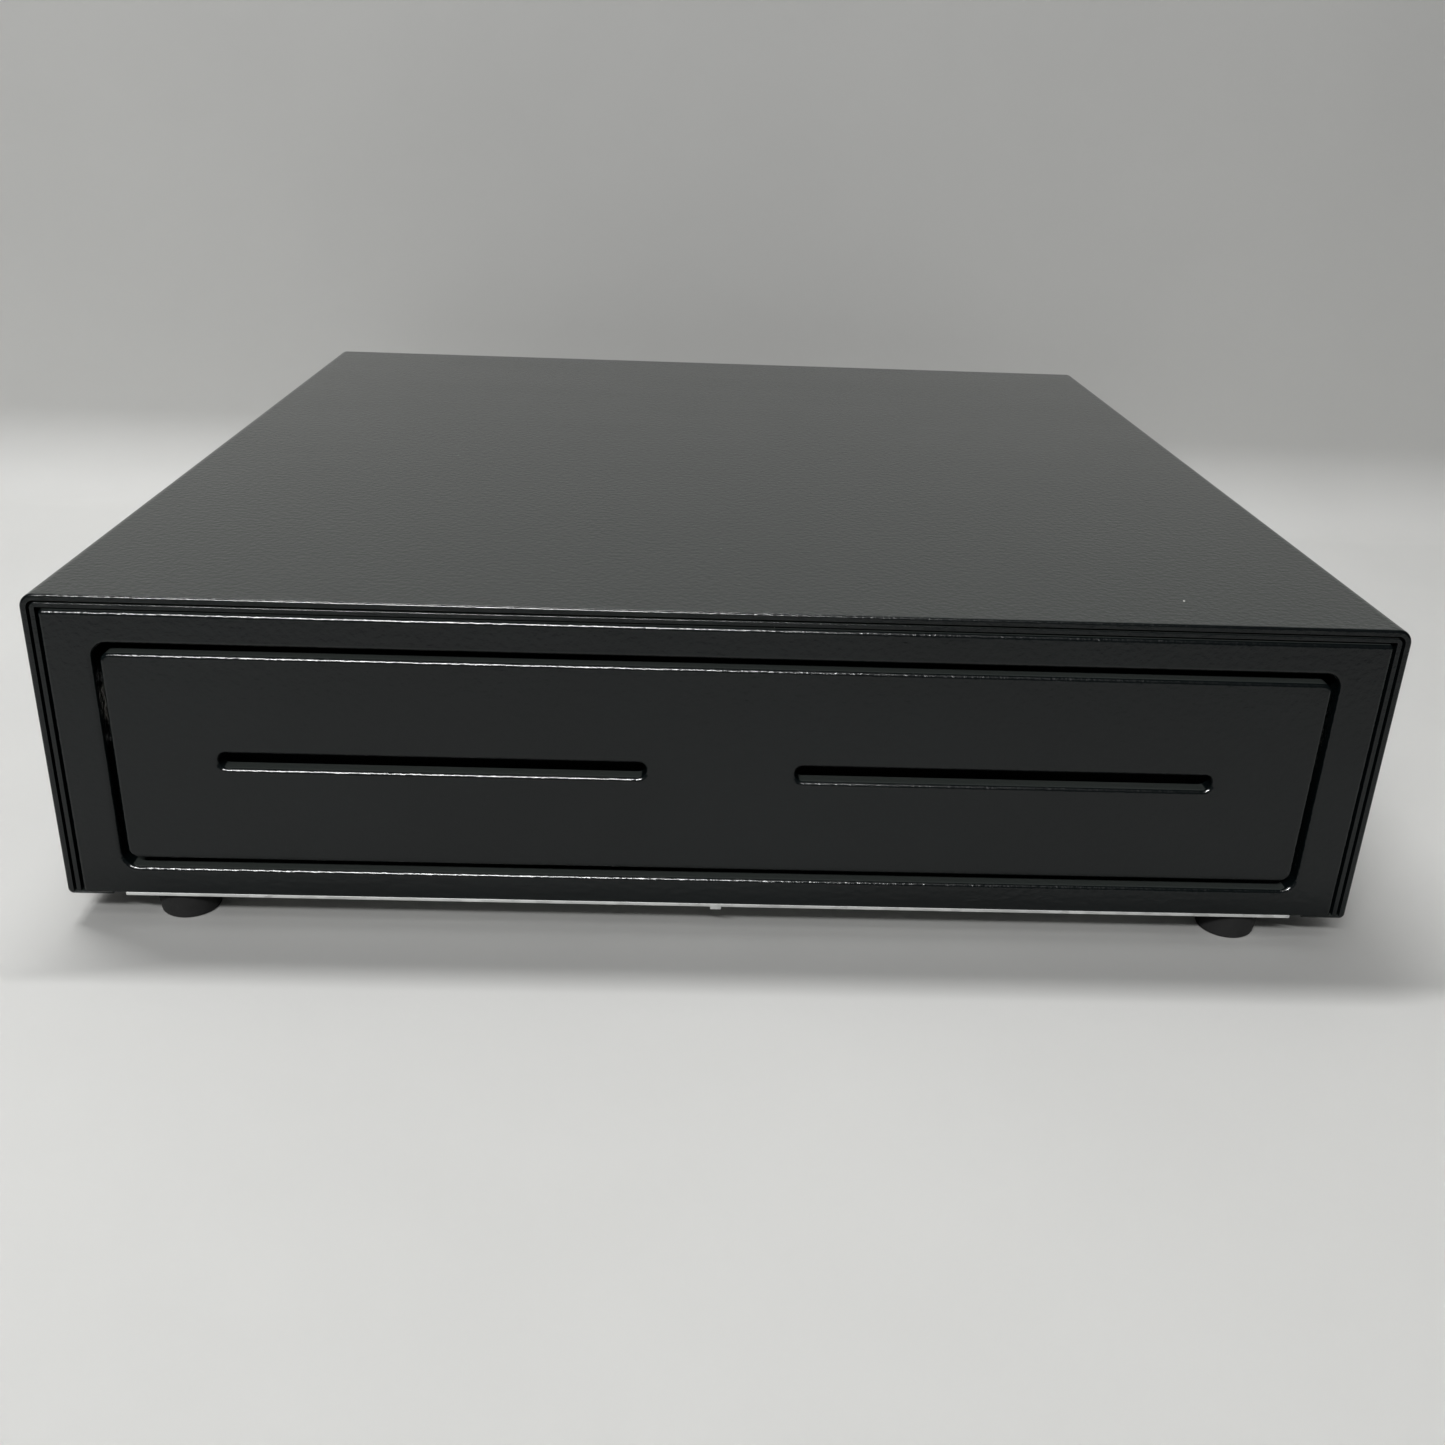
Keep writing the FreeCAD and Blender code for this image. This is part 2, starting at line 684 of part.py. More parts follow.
def rear_panel():
    body = new_body("rear_panel")
    low = f"{STRIP_TOP} + panel_gap"
    high = f"{TOP} - shell_sheet - panel_gap"
    edge_x = f"({INNER} - panel_gap)"
    pad(body, "XZ_Plane", [rectangle(f"-{edge_x}", edge_x, low, high)], PANEL_FRONT, PANEL_BACK)
    fillet(body, "shell_bend", lambda edge, whole: along(edge, "y") and near(edge.ZMax, whole.ZMax))
    holes = [(x, z, "screw_hole") for x, z in REAR_SCREWS]
    half_x = "(socket_width / 2 - shell_sheet + panel_gap)"
    half_z = "(socket_height / 2 - shell_sheet + panel_gap)"
    holes.append(rectangle(f"socket_x - {half_x}", f"socket_x + {half_x}",
                           f"{SOCKET_LEVEL} - {half_z}", f"{SOCKET_LEVEL} + {half_z}"))
    pocket(body, "XZ_Plane", holes, PANEL_FRONT, PANEL_BACK)
    return keep(body)


def rear_fixings():
    screws = []
    nuts = []
    for number, place in enumerate(REAR_SCREWS, start=1):
        name = f"rear_screw_{number}"
        shank = cylinder(name + "_shank", "y", place, "screw_radius", f"{SHELL_BACK} - rear_screw_length",
                         SHELL_BACK)
        head = cylinder(name + "_head", "y", place, "screw_head_radius", SHELL_BACK,
                        f"{SHELL_BACK} + rear_screw_head")
        screws.append(fuse(name, [shank, head]))
        nuts.append(nut(f"rear_nut_{number}", "y", place, f"{PANEL_FRONT} - nut_height", PANEL_FRONT))
    keep(group("rear_screws", screws))
    keep(group("rear_nuts", nuts))


def feet():
    rubber = []
    screws = []
    nuts = []
    for number, (x, y) in enumerate(FEET, start=1):
        body = new_body(f"foot_{number}")
        revolve(body, "XZ_Plane", [
            ("foot_recess_radius", "0"), ("foot_tread_radius", "0"), ("foot_top_radius", "foot_height"),
            ("screw_hole", "foot_height"), ("screw_hole", "foot_recess"),
            ("foot_recess_radius", "foot_recess"),
        ], "V_Axis")
        tread = sheet.foot_tread_radius
        fillet(body, "foot_round", lambda edge, whole: near(edge.ZMax, 0) and near(edge.XMax, tread))
        body.setExpression("Placement.Base.x", bound(x))
        body.setExpression("Placement.Base.y", bound(y))
        rubber.append(body)
        head = cylinder(f"foot_screw_{number}_head", "z", (x, y), "screw_head_radius",
                        "foot_recess - foot_head", "foot_recess")
        shank = cylinder(f"foot_screw_{number}_shank", "z", (x, y), "screw_radius", "foot_recess",
                         f"{PAN_TOP} + foot_screw_end - pan_sheet")
        screws.append(fuse(f"foot_screw_{number}", [head, shank]))
        nuts.append(nut(f"foot_nut_{number}", "z", (x, y), PAN_TOP, f"{PAN_TOP} + nut_height"))
    keep(group("rubber_feet", rubber))
    keep(group("foot_screws", screws))
    keep(group("foot_nuts", nuts))


# ---------------------------------------------------------------- rollers and rails

def rail_bracket(name, side):
    """An angle standing on the base pan, carrying the track."""
    points = [
        (TRACK_OUT, STRIP_TOP), (f"{TRACK_OUT} + rail_sheet + bracket_foot", STRIP_TOP),
        (f"{TRACK_OUT} + rail_sheet + bracket_foot", f"{STRIP_TOP} + rail_sheet"),
        (f"{TRACK_OUT} + rail_sheet", f"{STRIP_TOP} + rail_sheet"),
        (f"{TRACK_OUT} + rail_sheet", f"{TRACK_HIGH} + rail_sheet"),
        (TRACK_OUT, f"{TRACK_HIGH} + rail_sheet"),
    ]
    outline = [(f"{side} * ({x})", z) for x, z in points]
    keep(prism("rail_bracket_" + name, "XZ_Plane", [outline], f"{FRONT} + bracket_start",
               f"{PANEL_FRONT} - track_rear_gap"))


def roller_track(name, side):
    """A channel, open towards the drawer, with a lug near the front for the rubber stop."""
    body = new_body("roller_track_" + name)
    toe = f"({TRACK_OUT} - track_reach)"
    points = [
        (TRACK_OUT, f"{TRACK_LEVEL} - rail_sheet"), (TRACK_OUT, f"{TRACK_HIGH} + rail_sheet"),
        (toe, f"{TRACK_HIGH} + rail_sheet"), (toe, TRACK_HIGH), (TRACK_WEB, TRACK_HIGH),
        (TRACK_WEB, TRACK_LEVEL), (toe, TRACK_LEVEL), (toe, f"{TRACK_LEVEL} - rail_sheet"),
    ]
    outline = [(f"{side} * {x}", z) for x, z in points]
    pad(body, "XZ_Plane", [outline], f"{FRONT} + track_start", f"{PANEL_FRONT} - track_rear_gap")
    lug = rectangle(f"{side} * {toe}", f"{side} * {TRACK_WEB}", TRACK_LEVEL, f"{TRACK_LEVEL} + stop_height")
    lug_back = f"({STOP_Y} - bumper_length)"
    pad(body, "XZ_Plane", [lug], f"{lug_back} - stop_lug", lug_back)
    return keep(body)


def stop_bumpers():
    toe = f"({TRACK_OUT} - track_reach + axle_side_play)"
    blocks = []
    for name, side in SIDES:
        x = (toe, TRACK_WEB) if side > 0 else (f"-{TRACK_WEB}", f"-{toe}")
        blocks.append(box("bumper_" + name, x, (f"{STOP_Y} - bumper_length", STOP_Y),
                          (TRACK_LEVEL, f"{TRACK_LEVEL} + stop_height")))
    keep(group("stop_bumpers", blocks))


def roller(label, side, radius, y, z, recess_inside):
    """A nylon roller turning about X, recessed on one face for its axle's head."""
    body = new_body(label)
    near_x, far_x = (ROLLER_IN, RAIL_OUT) if recess_inside else (RAIL_OUT, ROLLER_IN)
    inward = 1 if recess_inside else -1
    bore = "(axle_radius + axle_play)"
    points = [
        (near_x, "axle_recess_radius"), (near_x, f"{radius} - roller_chamfer"),
        (f"{near_x} + {inward} * roller_chamfer", radius), (f"{far_x} - {inward} * roller_chamfer", radius),
        (far_x, f"{radius} - roller_chamfer"), (far_x, bore),
        (f"{near_x} + {inward} * axle_recess", bore),
        (f"{near_x} + {inward} * axle_recess", "axle_recess_radius"),
    ]
    revolve(body, "XY_Plane", [(f"{side} * ({x})", height) for x, height in points], "H_Axis")
    body.setExpression("Placement.Base.y", bound(y))
    body.setExpression("Placement.Base.z", bound(z))
    return keep(body)


def axle(label, side, centre, root, collar_end, tip, head_end):
    """A riveted axle: a collar at its root, a plain shaft and a low head at its tip."""
    parts = []
    for part, radius, start, end in (
        ("shaft", "axle_radius", root, tip),
        ("collar", "axle_collar_radius", root, collar_end),
        ("head", "axle_head_radius", head_end, tip),
    ):
        low, high = (start, end) if side > 0 else (f"-({end})", f"-({start})")
        parts.append(cylinder(f"{label}_{part}", "x", centre, radius, low, high))
    return fuse(label, parts)


def axles():
    front = []
    rear = []
    web = f"({TRAY_X} + rail_sheet)"
    for name, side in SIDES:
        inner_end = f"({ROLLER_IN} + axle_recess / 2 - axle_head / 2)"
        front.append(axle("front_axle_" + name, -side, (FRONT_ROLLER_Y, FRONT_ROLLER_Z),
                          f"-{TRACK_WEB}", f"-({RAIL_OUT} + axle_side_play)", f"-{inner_end}",
                          f"-({inner_end} + axle_head)"))
        outer_end = f"({RAIL_OUT} - axle_recess / 2 + axle_head / 2)"
        rear.append(axle("rear_axle_" + name, side, (REAR_ROLLER_Y, REAR_ROLLER_Z),
                         web, f"{ROLLER_IN} - axle_side_play", outer_end, f"{outer_end} - axle_head"))
    keep(group("front_axles", front))
    keep(group("rear_axles", rear))


def drawer_rail(name, side):
    """An angle on the tray's side; its flange runs on the front roller."""
    body = new_body("drawer_rail_" + name)
    web = rectangle(f"{side} * {TRAY_X}", f"{side} * ({TRAY_X} + rail_sheet)",
                    f"{RAIL_HIGH} - rail_flange_drop", RAIL_HIGH)
    start = f"({FRONT} + track_start)"
    pad(body, "XZ_Plane", [web], start, TRAY_BACK)
    flange = rectangle(f"{side} * {TRAY_X}", f"{side} * {RAIL_OUT}", RAIL_LOW, RAIL_HIGH)
    pad(body, "XZ_Plane", [flange], start, f"{TRAY_BACK} - rail_flange_end")
    return keep(body)


# ---------------------------------------------------------------- drawer

STUDS = tuple(
    (f"{side} * ({TRAY_X} - stud_inset)", f"{TRAY_LOW} + stud_low + {step} * stud_rise")
    for side in (-1, 1)
    for step in (0, 1)
)


def drawer_front():
    """A pressed panel with edges turned back and two lipped media slots; weld studs behind."""
    body = new_body("drawer_front")
    skin = "front_sheet"
    outer = rectangle(f"-{DRAWER_X}", DRAWER_X, DRAWER_LOW, DRAWER_HIGH)
    pad(body, "XZ_Plane", [outer], FRONT, f"{FRONT} + {skin}")
    hollow = rectangle(f"-({DRAWER_X} - {skin})", f"{DRAWER_X} - {skin}", f"{DRAWER_LOW} + {skin}",
                       f"{DRAWER_HIGH} - {skin}")
    pad(body, "XZ_Plane", [outer, hollow], FRONT, f"{FRONT} + front_return")
    fillet(body, "front_corner", lambda edge, whole: along(edge, "y") and near(abs(edge.XMax), whole.XMax))
    wall = sheet.front_sheet
    fillet(body, f"front_corner - {skin}", lambda edge, whole: along(edge, "y")
           and near(abs(edge.XMax), whole.XMax - wall))
    lips = []
    slots = []
    for side in (-1, 1):
        lips.append(rectangle(f"{side} * ({SLOT_IN} - {skin})", f"{side} * ({SLOT_OUT} + {skin})",
                              f"{SLOT_LEVEL} - slot_opening / 2 - {skin}",
                              f"{SLOT_LEVEL} + slot_opening / 2 + {skin}"))
        slots.append(rectangle(f"{side} * {SLOT_IN}", f"{side} * {SLOT_OUT}",
                               f"{SLOT_LEVEL} - slot_opening / 2", f"{SLOT_LEVEL} + slot_opening / 2"))
    pad(body, "XZ_Plane", lips, FRONT, f"{FRONT} + slot_lip")
    pocket(body, "XZ_Plane", slots, FRONT, f"{FRONT} + slot_lip")
    level = (body.Tip.Shape.BoundBox.ZMin + body.Tip.Shape.BoundBox.ZMax) / 2
    reach = sheet.slot_opening / 2
    fillet(body, "slot_opening / 2 - 0.05", lambda edge, whole: along(edge, "y")
           and near(abs(edge.ZMax - level), reach))
    fillet(body, f"slot_opening / 2 + {skin} - 0.05", lambda edge, whole: along(edge, "y")
           and near(abs(edge.ZMax - level), reach + wall))
    fillet(body, "edge_round", lambda edge, whole: near(edge.YMax, whole.YMin))
    studs = [(x, z, "screw_radius") for x, z in STUDS]
    pad(body, "XZ_Plane", studs, TRAY_FRONT, f"{TRAY_FRONT} + stud_length")
    return keep(body)


def drawer_tray():
    """An open box with a low front upturn and two narrow front flanges for the studs."""
    body = new_body("drawer_tray")
    inner = f"({TRAY_X} - tray_sheet)"
    pad(body, "XY_Plane", [rectangle(f"-{TRAY_X}", TRAY_X, TRAY_FRONT, TRAY_BACK)], TRAY_LOW, TRAY_TOP)
    hollow = rectangle(f"-{inner}", inner, f"{TRAY_FRONT} + tray_sheet", f"{TRAY_BACK} - tray_sheet")
    pocket(body, "XY_Plane", [hollow], TRAY_FLOOR, TRAY_TOP)
    side_x = f"({TRAY_X} - tray_front_flange)"
    window = rectangle(f"-{side_x}", side_x, f"{TRAY_LOW} + tray_front_upturn", TRAY_TOP)
    pocket(body, "XZ_Plane", [window], TRAY_FRONT, f"{TRAY_FRONT} + tray_sheet")
    holes = [(x, z, "screw_hole") for x, z in STUDS]
    pocket(body, "XZ_Plane", holes, TRAY_FRONT, f"{TRAY_FRONT} + tray_sheet")
    return keep(body)


def front_nuts():
    back = f"({TRAY_FRONT} + tray_sheet)"
    keep(group("front_nuts", [
        nut(f"front_nut_{number}", "y", place, back, f"{back} + nut_height")
        for number, place in enumerate(STUDS, start=1)
    ]))


def media_guide():
    """A sloped sheet behind the slots that sends slips down and under the till."""
    skin = f"({TRAY_FRONT} + tray_sheet)"
    bend = f"({SLOT_LEVEL} + guide_over_slot)"
    knee = f"({bend} - guide_fall)"
    low = f"({TILL_LOW} + guide_over_till)"
    outline = [
        (TRAY_FRONT, f"{bend} + guide_flange"), (skin, f"{bend} + guide_flange"), (skin, bend),
        (f"{TRAY_FRONT} + guide_reach", knee), (f"{TRAY_FRONT} + guide_reach", low),
        (f"{TRAY_FRONT} + guide_reach - tray_sheet", low),
        (f"{TRAY_FRONT} + guide_reach - tray_sheet", f"{knee} - tray_sheet"),
        (TRAY_FRONT, f"{bend} - tray_sheet"),
    ]
    half = f"({TRAY_X} - tray_front_flange - guide_side_gap)"
    keep(prism("media_guide", "YZ_Plane", [outline], f"-{half}", half))


def till_ledges():
    inner = f"({TRAY_X} - tray_sheet)"
    ledges = []
    for name, side in SIDES:
        points = [
            (inner, TILL_LOW), (f"{inner} - ledge_width", TILL_LOW),
            (f"{inner} - ledge_width", f"{TILL_LOW} - tray_sheet"),
            (f"{inner} - tray_sheet", f"{TILL_LOW} - tray_sheet"),
            (f"{inner} - tray_sheet", f"{TILL_LOW} - ledge_leg"), (inner, f"{TILL_LOW} - ledge_leg"),
        ]
        outline = [(f"{side} * ({x})", z) for x, z in points]
        ledges.append(prism("till_ledge_" + name, "XZ_Plane", [outline], TILL_FRONT, TILL_BACK))
    keep(group("till_ledges", ledges))


def till_tray():
    """A moulded insert: a bay for coin cups, a bay for bills and a short bay for the clips."""
    body = new_body("till_tray")
    pad(body, "XY_Plane", [rectangle(f"-{TILL_X}", TILL_X, TILL_FRONT, TILL_BACK)], TILL_LOW, TILL_TOP)
    fillet(body, "cup_corner", lambda edge, whole: along(edge, "z"))
    bays = [
        rectangle(f"-{BAY_X}", BAY_X, low, end)
        for low, end in ((f"{TILL_FRONT} + till_wall", CUP_BACK), (BILL_FRONT, BILL_BACK),
                         (CLIP_FRONT, CLIP_BACK))
    ]
    pocket(body, "XY_Plane", bays, TILL_FLOOR, TILL_TOP)
    notch = rectangle(f"-{BAY_X}", BAY_X, BILL_BACK, CLIP_FRONT)
    pocket(body, "XY_Plane", [notch], f"{TILL_TOP} - low_wall_drop", TILL_TOP)
    ribs = []
    for step in range(1, int(sheet.bay_count)):
        middle = f"({step} * {BAY_PITCH} - {BAY_X} - divider_thickness / 2)"
        ribs.append(rectangle(f"{middle} - divider_thickness / 2", f"{middle} + divider_thickness / 2",
                              CLIP_FRONT, CLIP_BACK))
    pad(body, "XY_Plane", ribs, TILL_FLOOR, f"{TILL_TOP} - divider_drop")
    pocket(body, "YZ_Plane", [(ROD_Y, ROD_Z, "rod_radius + rod_play")], f"-{TILL_X}", TILL_X)
    return keep(body)


def bill_dividers():
    for step in range(1, int(sheet.bay_count)):
        middle = f"({step} * {BAY_PITCH} - {BAY_X} - divider_thickness / 2)"
        keep(box(f"bill_divider_{step}",
                 (f"{middle} - divider_thickness / 2", f"{middle} + divider_thickness / 2"),
                 (f"{BILL_FRONT} + divider_play", f"{BILL_BACK} - divider_play"),
                 (TILL_FLOOR, f"{TILL_TOP} - divider_drop")))


def coin_cups():
    """Lift-out cups with a scooped bottom."""
    front = f"({TILL_FRONT} + till_wall + cup_play)"
    back = f"({CUP_BACK} - cup_play)"
    high = f"({TILL_TOP} - cup_drop)"
    for step in range(int(sheet.bay_count)):
        body = new_body(f"coin_cup_{step + 1}")
        left = f"({step} * {CUP_PITCH} - {BAY_X} + cup_play)"
        right = f"({left} + {CUP_PITCH} - 2 * cup_play)"
        pad(body, "XY_Plane", [rectangle(left, right, front, back)], TILL_FLOOR, high)
        fillet(body, "cup_corner", lambda edge, whole: along(edge, "z"))
        hollow = rectangle(f"{left} + cup_wall", f"{right} - cup_wall", f"{front} + cup_wall",
                           f"{back} - cup_wall")
        pocket(body, "XY_Plane", [hollow], f"{TILL_FLOOR} + cup_wall", high)
        wall = sheet.cup_wall
        fillet(body, "cup_scoop", lambda edge, whole: along(edge, "x")
               and near(edge.ZMax, whole.ZMin + wall) and not near(edge.YMax, whole.YMin))
        keep(body)


def bay_centre(step):
    return f"(({step} + 0.5) * {BAY_PITCH} - {BAY_X} - divider_thickness / 2)"


def bill_clip(step):
    """A hub on the rod, an arm forward and down, and a wide nose resting on the bills."""
    body = new_body(f"bill_clip_{step + 1}")
    middle = bay_centre(step)
    high = [
        (ROD_Y, f"{ROD_Z} + clip_hub_radius"),
        (f"{ROD_Y} - clip_knee", f"{ROD_Z} + clip_hub_radius - clip_sheet / 2"),
        (f"{ROD_Y} - clip_reach + clip_nose", f"{TILL_FLOOR} + clip_rest + 1.5 * clip_sheet"),
        (f"{ROD_Y} - clip_reach + clip_tip", f"{TILL_FLOOR} + clip_rest + clip_sheet"),
        (f"{ROD_Y} - clip_reach", f"{TILL_FLOOR} + clip_rest + clip_sheet + clip_tip_rise"),
    ]
    strip = high + [(y, f"{z} - clip_sheet") for y, z in reversed(high)]
    nose = high[2:] + [(y, f"{z} - clip_sheet") for y, z in reversed(high[2:])]
    pad(body, "YZ_Plane", [(ROD_Y, ROD_Z, "clip_hub_radius")], f"{middle} - clip_hub_width / 2",
        f"{middle} + clip_hub_width / 2")
    pad(body, "YZ_Plane", [strip], f"{middle} - clip_arm_width / 2", f"{middle} + clip_arm_width / 2")
    pad(body, "YZ_Plane", [nose], f"{middle} - clip_nose_width / 2", f"{middle} + clip_nose_width / 2")
    pocket(body, "YZ_Plane", [(ROD_Y, ROD_Z, "rod_radius + rod_play")], f"{middle} - clip_hub_width / 2",
           f"{middle} + clip_hub_width / 2")
    return keep(body)


def clip_rod():
    end = f"({TILL_X} - cup_play)"
    keep(cylinder("clip_rod", "x", (ROD_Y, ROD_Z), "rod_radius", f"-{end}", end))


def clip_springs():
    springs = []
    for step in range(int(sheet.bay_count)):
        start = f"({bay_centre(step)} + clip_hub_width / 2 + axle_side_play)"
        springs.append(tube(f"clip_spring_{step + 1}", "x", (ROD_Y, ROD_Z), "clip_spring_radius",
                            "clip_spring_radius - spring_wire", start, f"{start} + clip_spring_length"))
    keep(group("clip_springs", springs))


# ---------------------------------------------------------------- latch, switch, ejector, socket

def latch_bracket():
    """A hat-section bridge standing on the base pan."""
    left, right, high = "bracket_left", "bracket_right", BRACKET_TOP
    foot = f"({PAN_TOP} + bracket_sheet)"
    outline = [
        (f"{left} - bracket_flange", PAN_TOP), (f"{left} - bracket_flange", foot), (left, foot), (left, high),
        (right, high), (right, foot), (f"{right} + bracket_flange", foot),
        (f"{right} + bracket_flange", PAN_TOP),
        (f"{right} - bracket_sheet", PAN_TOP), (f"{right} - bracket_sheet", f"{high} - bracket_sheet"),
        (f"{left} + bracket_sheet", f"{high} - bracket_sheet"), (f"{left} + bracket_sheet", PAN_TOP),
    ]
    back = f"({PANEL_FRONT} - bracket_rear_gap)"
    keep(prism("latch_bracket", "XZ_Plane", [outline], f"{back} - bracket_depth", back))


def latch_pin():
    centre = ("latch_offset", PIVOT_Y)
    keep(fuse("latch_pin", [
        cylinder("latch_pin_shoulder", "z", centre, "pivot_shoulder", BRACKET_TOP,
                 f"{LATCH_LOW} - pivot_side_play"),
        cylinder("latch_pin_shaft", "z", centre, "pivot_radius", BRACKET_TOP,
                 f"{LATCH_HIGH} + pivot_side_play + pivot_head"),
        cylinder("latch_pin_head", "z", centre, "pivot_shoulder", f"{LATCH_HIGH} + pivot_side_play",
                 f"{LATCH_HIGH} + pivot_side_play + pivot_head"),
    ]))


def latch_hook():
    """Drawn about its pivot as it stands when locked, then swung clear of the striker."""
    body = new_body("latch_hook")
    half = "latch_arm_width / 2"
    tooth_low = "(-latch_arm + latch_tooth_set)"
    outline = [
        (half, "latch_tail"), (f"-{half}", "latch_tail"), (f"-{half}", f"{tooth_low} + latch_tooth_width"),
        (f"-{half} - latch_tooth", f"{tooth_low} + latch_tooth_width"),
        (f"-{half} - latch_tooth", f"{tooth_low} + latch_tooth_ramp"),
        (f"-{half} - latch_tooth + latch_tooth_ramp", tooth_low), (f"-{half}", tooth_low),
        (f"-{half}", "-latch_arm"), (half, "-latch_arm"),
    ]
    pad(body, "XY_Plane", [outline], LATCH_LOW, LATCH_HIGH)
    holes = [("0", "0", "pivot_radius + axle_play")]
    pocket(body, "XY_Plane", holes, LATCH_LOW, LATCH_HIGH)
    pad(body, "XY_Plane", [("0", "-link_arm", "link_hole + latch_sheet / 2")], LATCH_LOW, LATCH_HIGH)
    pocket(body, "XY_Plane", [("0", "-link_arm", "link_hole")], LATCH_LOW, LATCH_HIGH)
    body.Placement = FreeCAD.Placement(FreeCAD.Vector(0, 0, 0), FreeCAD.Rotation(FreeCAD.Vector(0, 0, 1), 1))
    body.setExpression("Placement.Rotation.Angle", bound("latch_release"))
    body.setExpression("Placement.Base.x", bound("latch_offset"))
    body.setExpression("Placement.Base.y", bound(PIVOT_Y))
    return keep(body)


def striker():
    half = "striker_sheet / 2"
    face = f"({TRAY_BACK} + striker_sheet)"
    base = box("striker_base", ("-striker_base_width / 2", "striker_base_width / 2"), (TRAY_BACK, face),
               (f"{LATCH_LEVEL} - striker_base_height / 2", f"{LATCH_LEVEL} + striker_base_height / 2"))
    tongue = box("striker_tongue", (f"-{half}", half), (TRAY_BACK, f"{TRAY_BACK} + striker_reach"),
                 (f"{LATCH_LEVEL} - striker_height / 2", f"{LATCH_LEVEL} + striker_height / 2"))
    window_back = f"({TRAY_BACK} + striker_reach - 2 * striker_sheet)"
    window = box("striker_window", (f"-{half}", half), (f"{window_back} - striker_window", window_back),
                 (f"{LATCH_LEVEL} - striker_window / 2", f"{LATCH_LEVEL} + striker_window / 2"))
    keep(cut("striker", fuse("striker_blank", [base, tongue]), window))


def solenoid():
    """A coil between two plates on a base, and a plunger whose pin works the latch hook."""
    centre = (LINK_Y, LATCH_LEVEL)
    left, right = "coil_left", "(coil_left + coil_length)"
    y = (f"{LINK_Y} - coil_frame_width / 2", f"{LINK_Y} + coil_frame_width / 2")
    high = f"{LATCH_LEVEL} + coil_radius + coil_plate"
    blank = fuse("solenoid_frame_blank", [
        box("solenoid_left_plate", (f"{left} - coil_plate", left), y, (BRACKET_TOP, high)),
        box("solenoid_right_plate", (right, f"{right} + coil_plate"), y, (BRACKET_TOP, high)),
        box("solenoid_base", (f"{left} - coil_plate", f"{right} + coil_plate"), y,
            (BRACKET_TOP, f"{BRACKET_TOP} + coil_frame_sheet")),
    ])
    hole = cylinder("solenoid_frame_hole", "x", centre, "coil_bore", f"{left} - coil_plate",
                    f"{right} + coil_plate")
    keep(cut("solenoid_frame", blank, hole))
    keep(tube("solenoid_coil", "x", centre, "coil_radius", "coil_bore", left, right))
    collar_end = "(plunger_nose + plunger_collar_width)"
    blade_low = f"({LATCH_LOW} - axle_play - pivot_side_play - plunger_blade_sheet)"
    blade_high = f"({LATCH_LOW} - axle_play - pivot_side_play)"
    keep(fuse("solenoid_plunger", [
        cylinder("plunger_core", "x", centre, "plunger_radius", "plunger_nose",
                 "plunger_nose + plunger_length"),
        cylinder("plunger_collar", "x", centre, "plunger_collar", "plunger_nose", collar_end),
        box("plunger_blade", (f"{LINK_X} - plunger_blade", collar_end),
            (f"{LINK_Y} - plunger_blade", f"{LINK_Y} + plunger_blade"), (blade_low, blade_high)),
        cylinder("plunger_pin", "z", (LINK_X, LINK_Y), "link_pin", blade_low,
                 f"{LATCH_HIGH} + pivot_side_play"),
    ]))
    keep(tube("plunger_spring", "x", centre, "plunger_radius + axle_play + 1.5 * spring_wire",
              "plunger_radius + 0.5 * spring_wire", collar_end, f"{left} - coil_plate"))


def drawer_switch():
    """A snap-action switch with a lever that the closed drawer leans on."""
    right = "(switch_left + switch_length)"
    pin_x, pin_y = "(switch_left + lever_radius)", f"({SWITCH_FRONT} - lever_radius)"
    ear_top = f"({BRACKET_TOP} + lever_ear)"
    keep(fuse("drawer_switch", [
        box("switch_case", ("switch_left", right), (SWITCH_FRONT, f"{SWITCH_FRONT} + switch_width"),
            (BRACKET_TOP, f"{BRACKET_TOP} + switch_height")),
        box("switch_ear", ("switch_left", "switch_left + 2 * lever_radius"),
            (f"{SWITCH_FRONT} - lever_ear_reach", SWITCH_FRONT), (BRACKET_TOP, ear_top)),
        cylinder("switch_pin", "z", (pin_x, pin_y), "lever_pin", BRACKET_TOP,
                 f"{ear_top} + pivot_side_play + lever_height"),
    ]))
    low = f"({ear_top} + pivot_side_play)"
    high = f"({low} + lever_height)"
    tip_x, tip_y = f"({pin_x} + lever_reach)", f"({TRAY_BACK} + lever_gap + lever_radius)"
    body = new_body("switch_lever")
    hub = "(lever_radius - axle_side_play)"
    pad(body, "XY_Plane", [(pin_x, pin_y, hub)], low, high)
    pad(body, "XY_Plane", [(tip_x, tip_y, "lever_radius")], low, high)
    arm = [
        (pin_x, f"{pin_y} - {hub}"), (tip_x, f"{tip_y} - lever_radius / 2"),
        (tip_x, f"{tip_y} - lever_radius / 2 + lever_sheet"), (pin_x, f"{pin_y} - {hub} + lever_sheet"),
    ]
    pad(body, "XY_Plane", [arm], low, high)
    pocket(body, "XY_Plane", [(pin_x, pin_y, "lever_pin + axle_play")], low, high)
    keep(body)


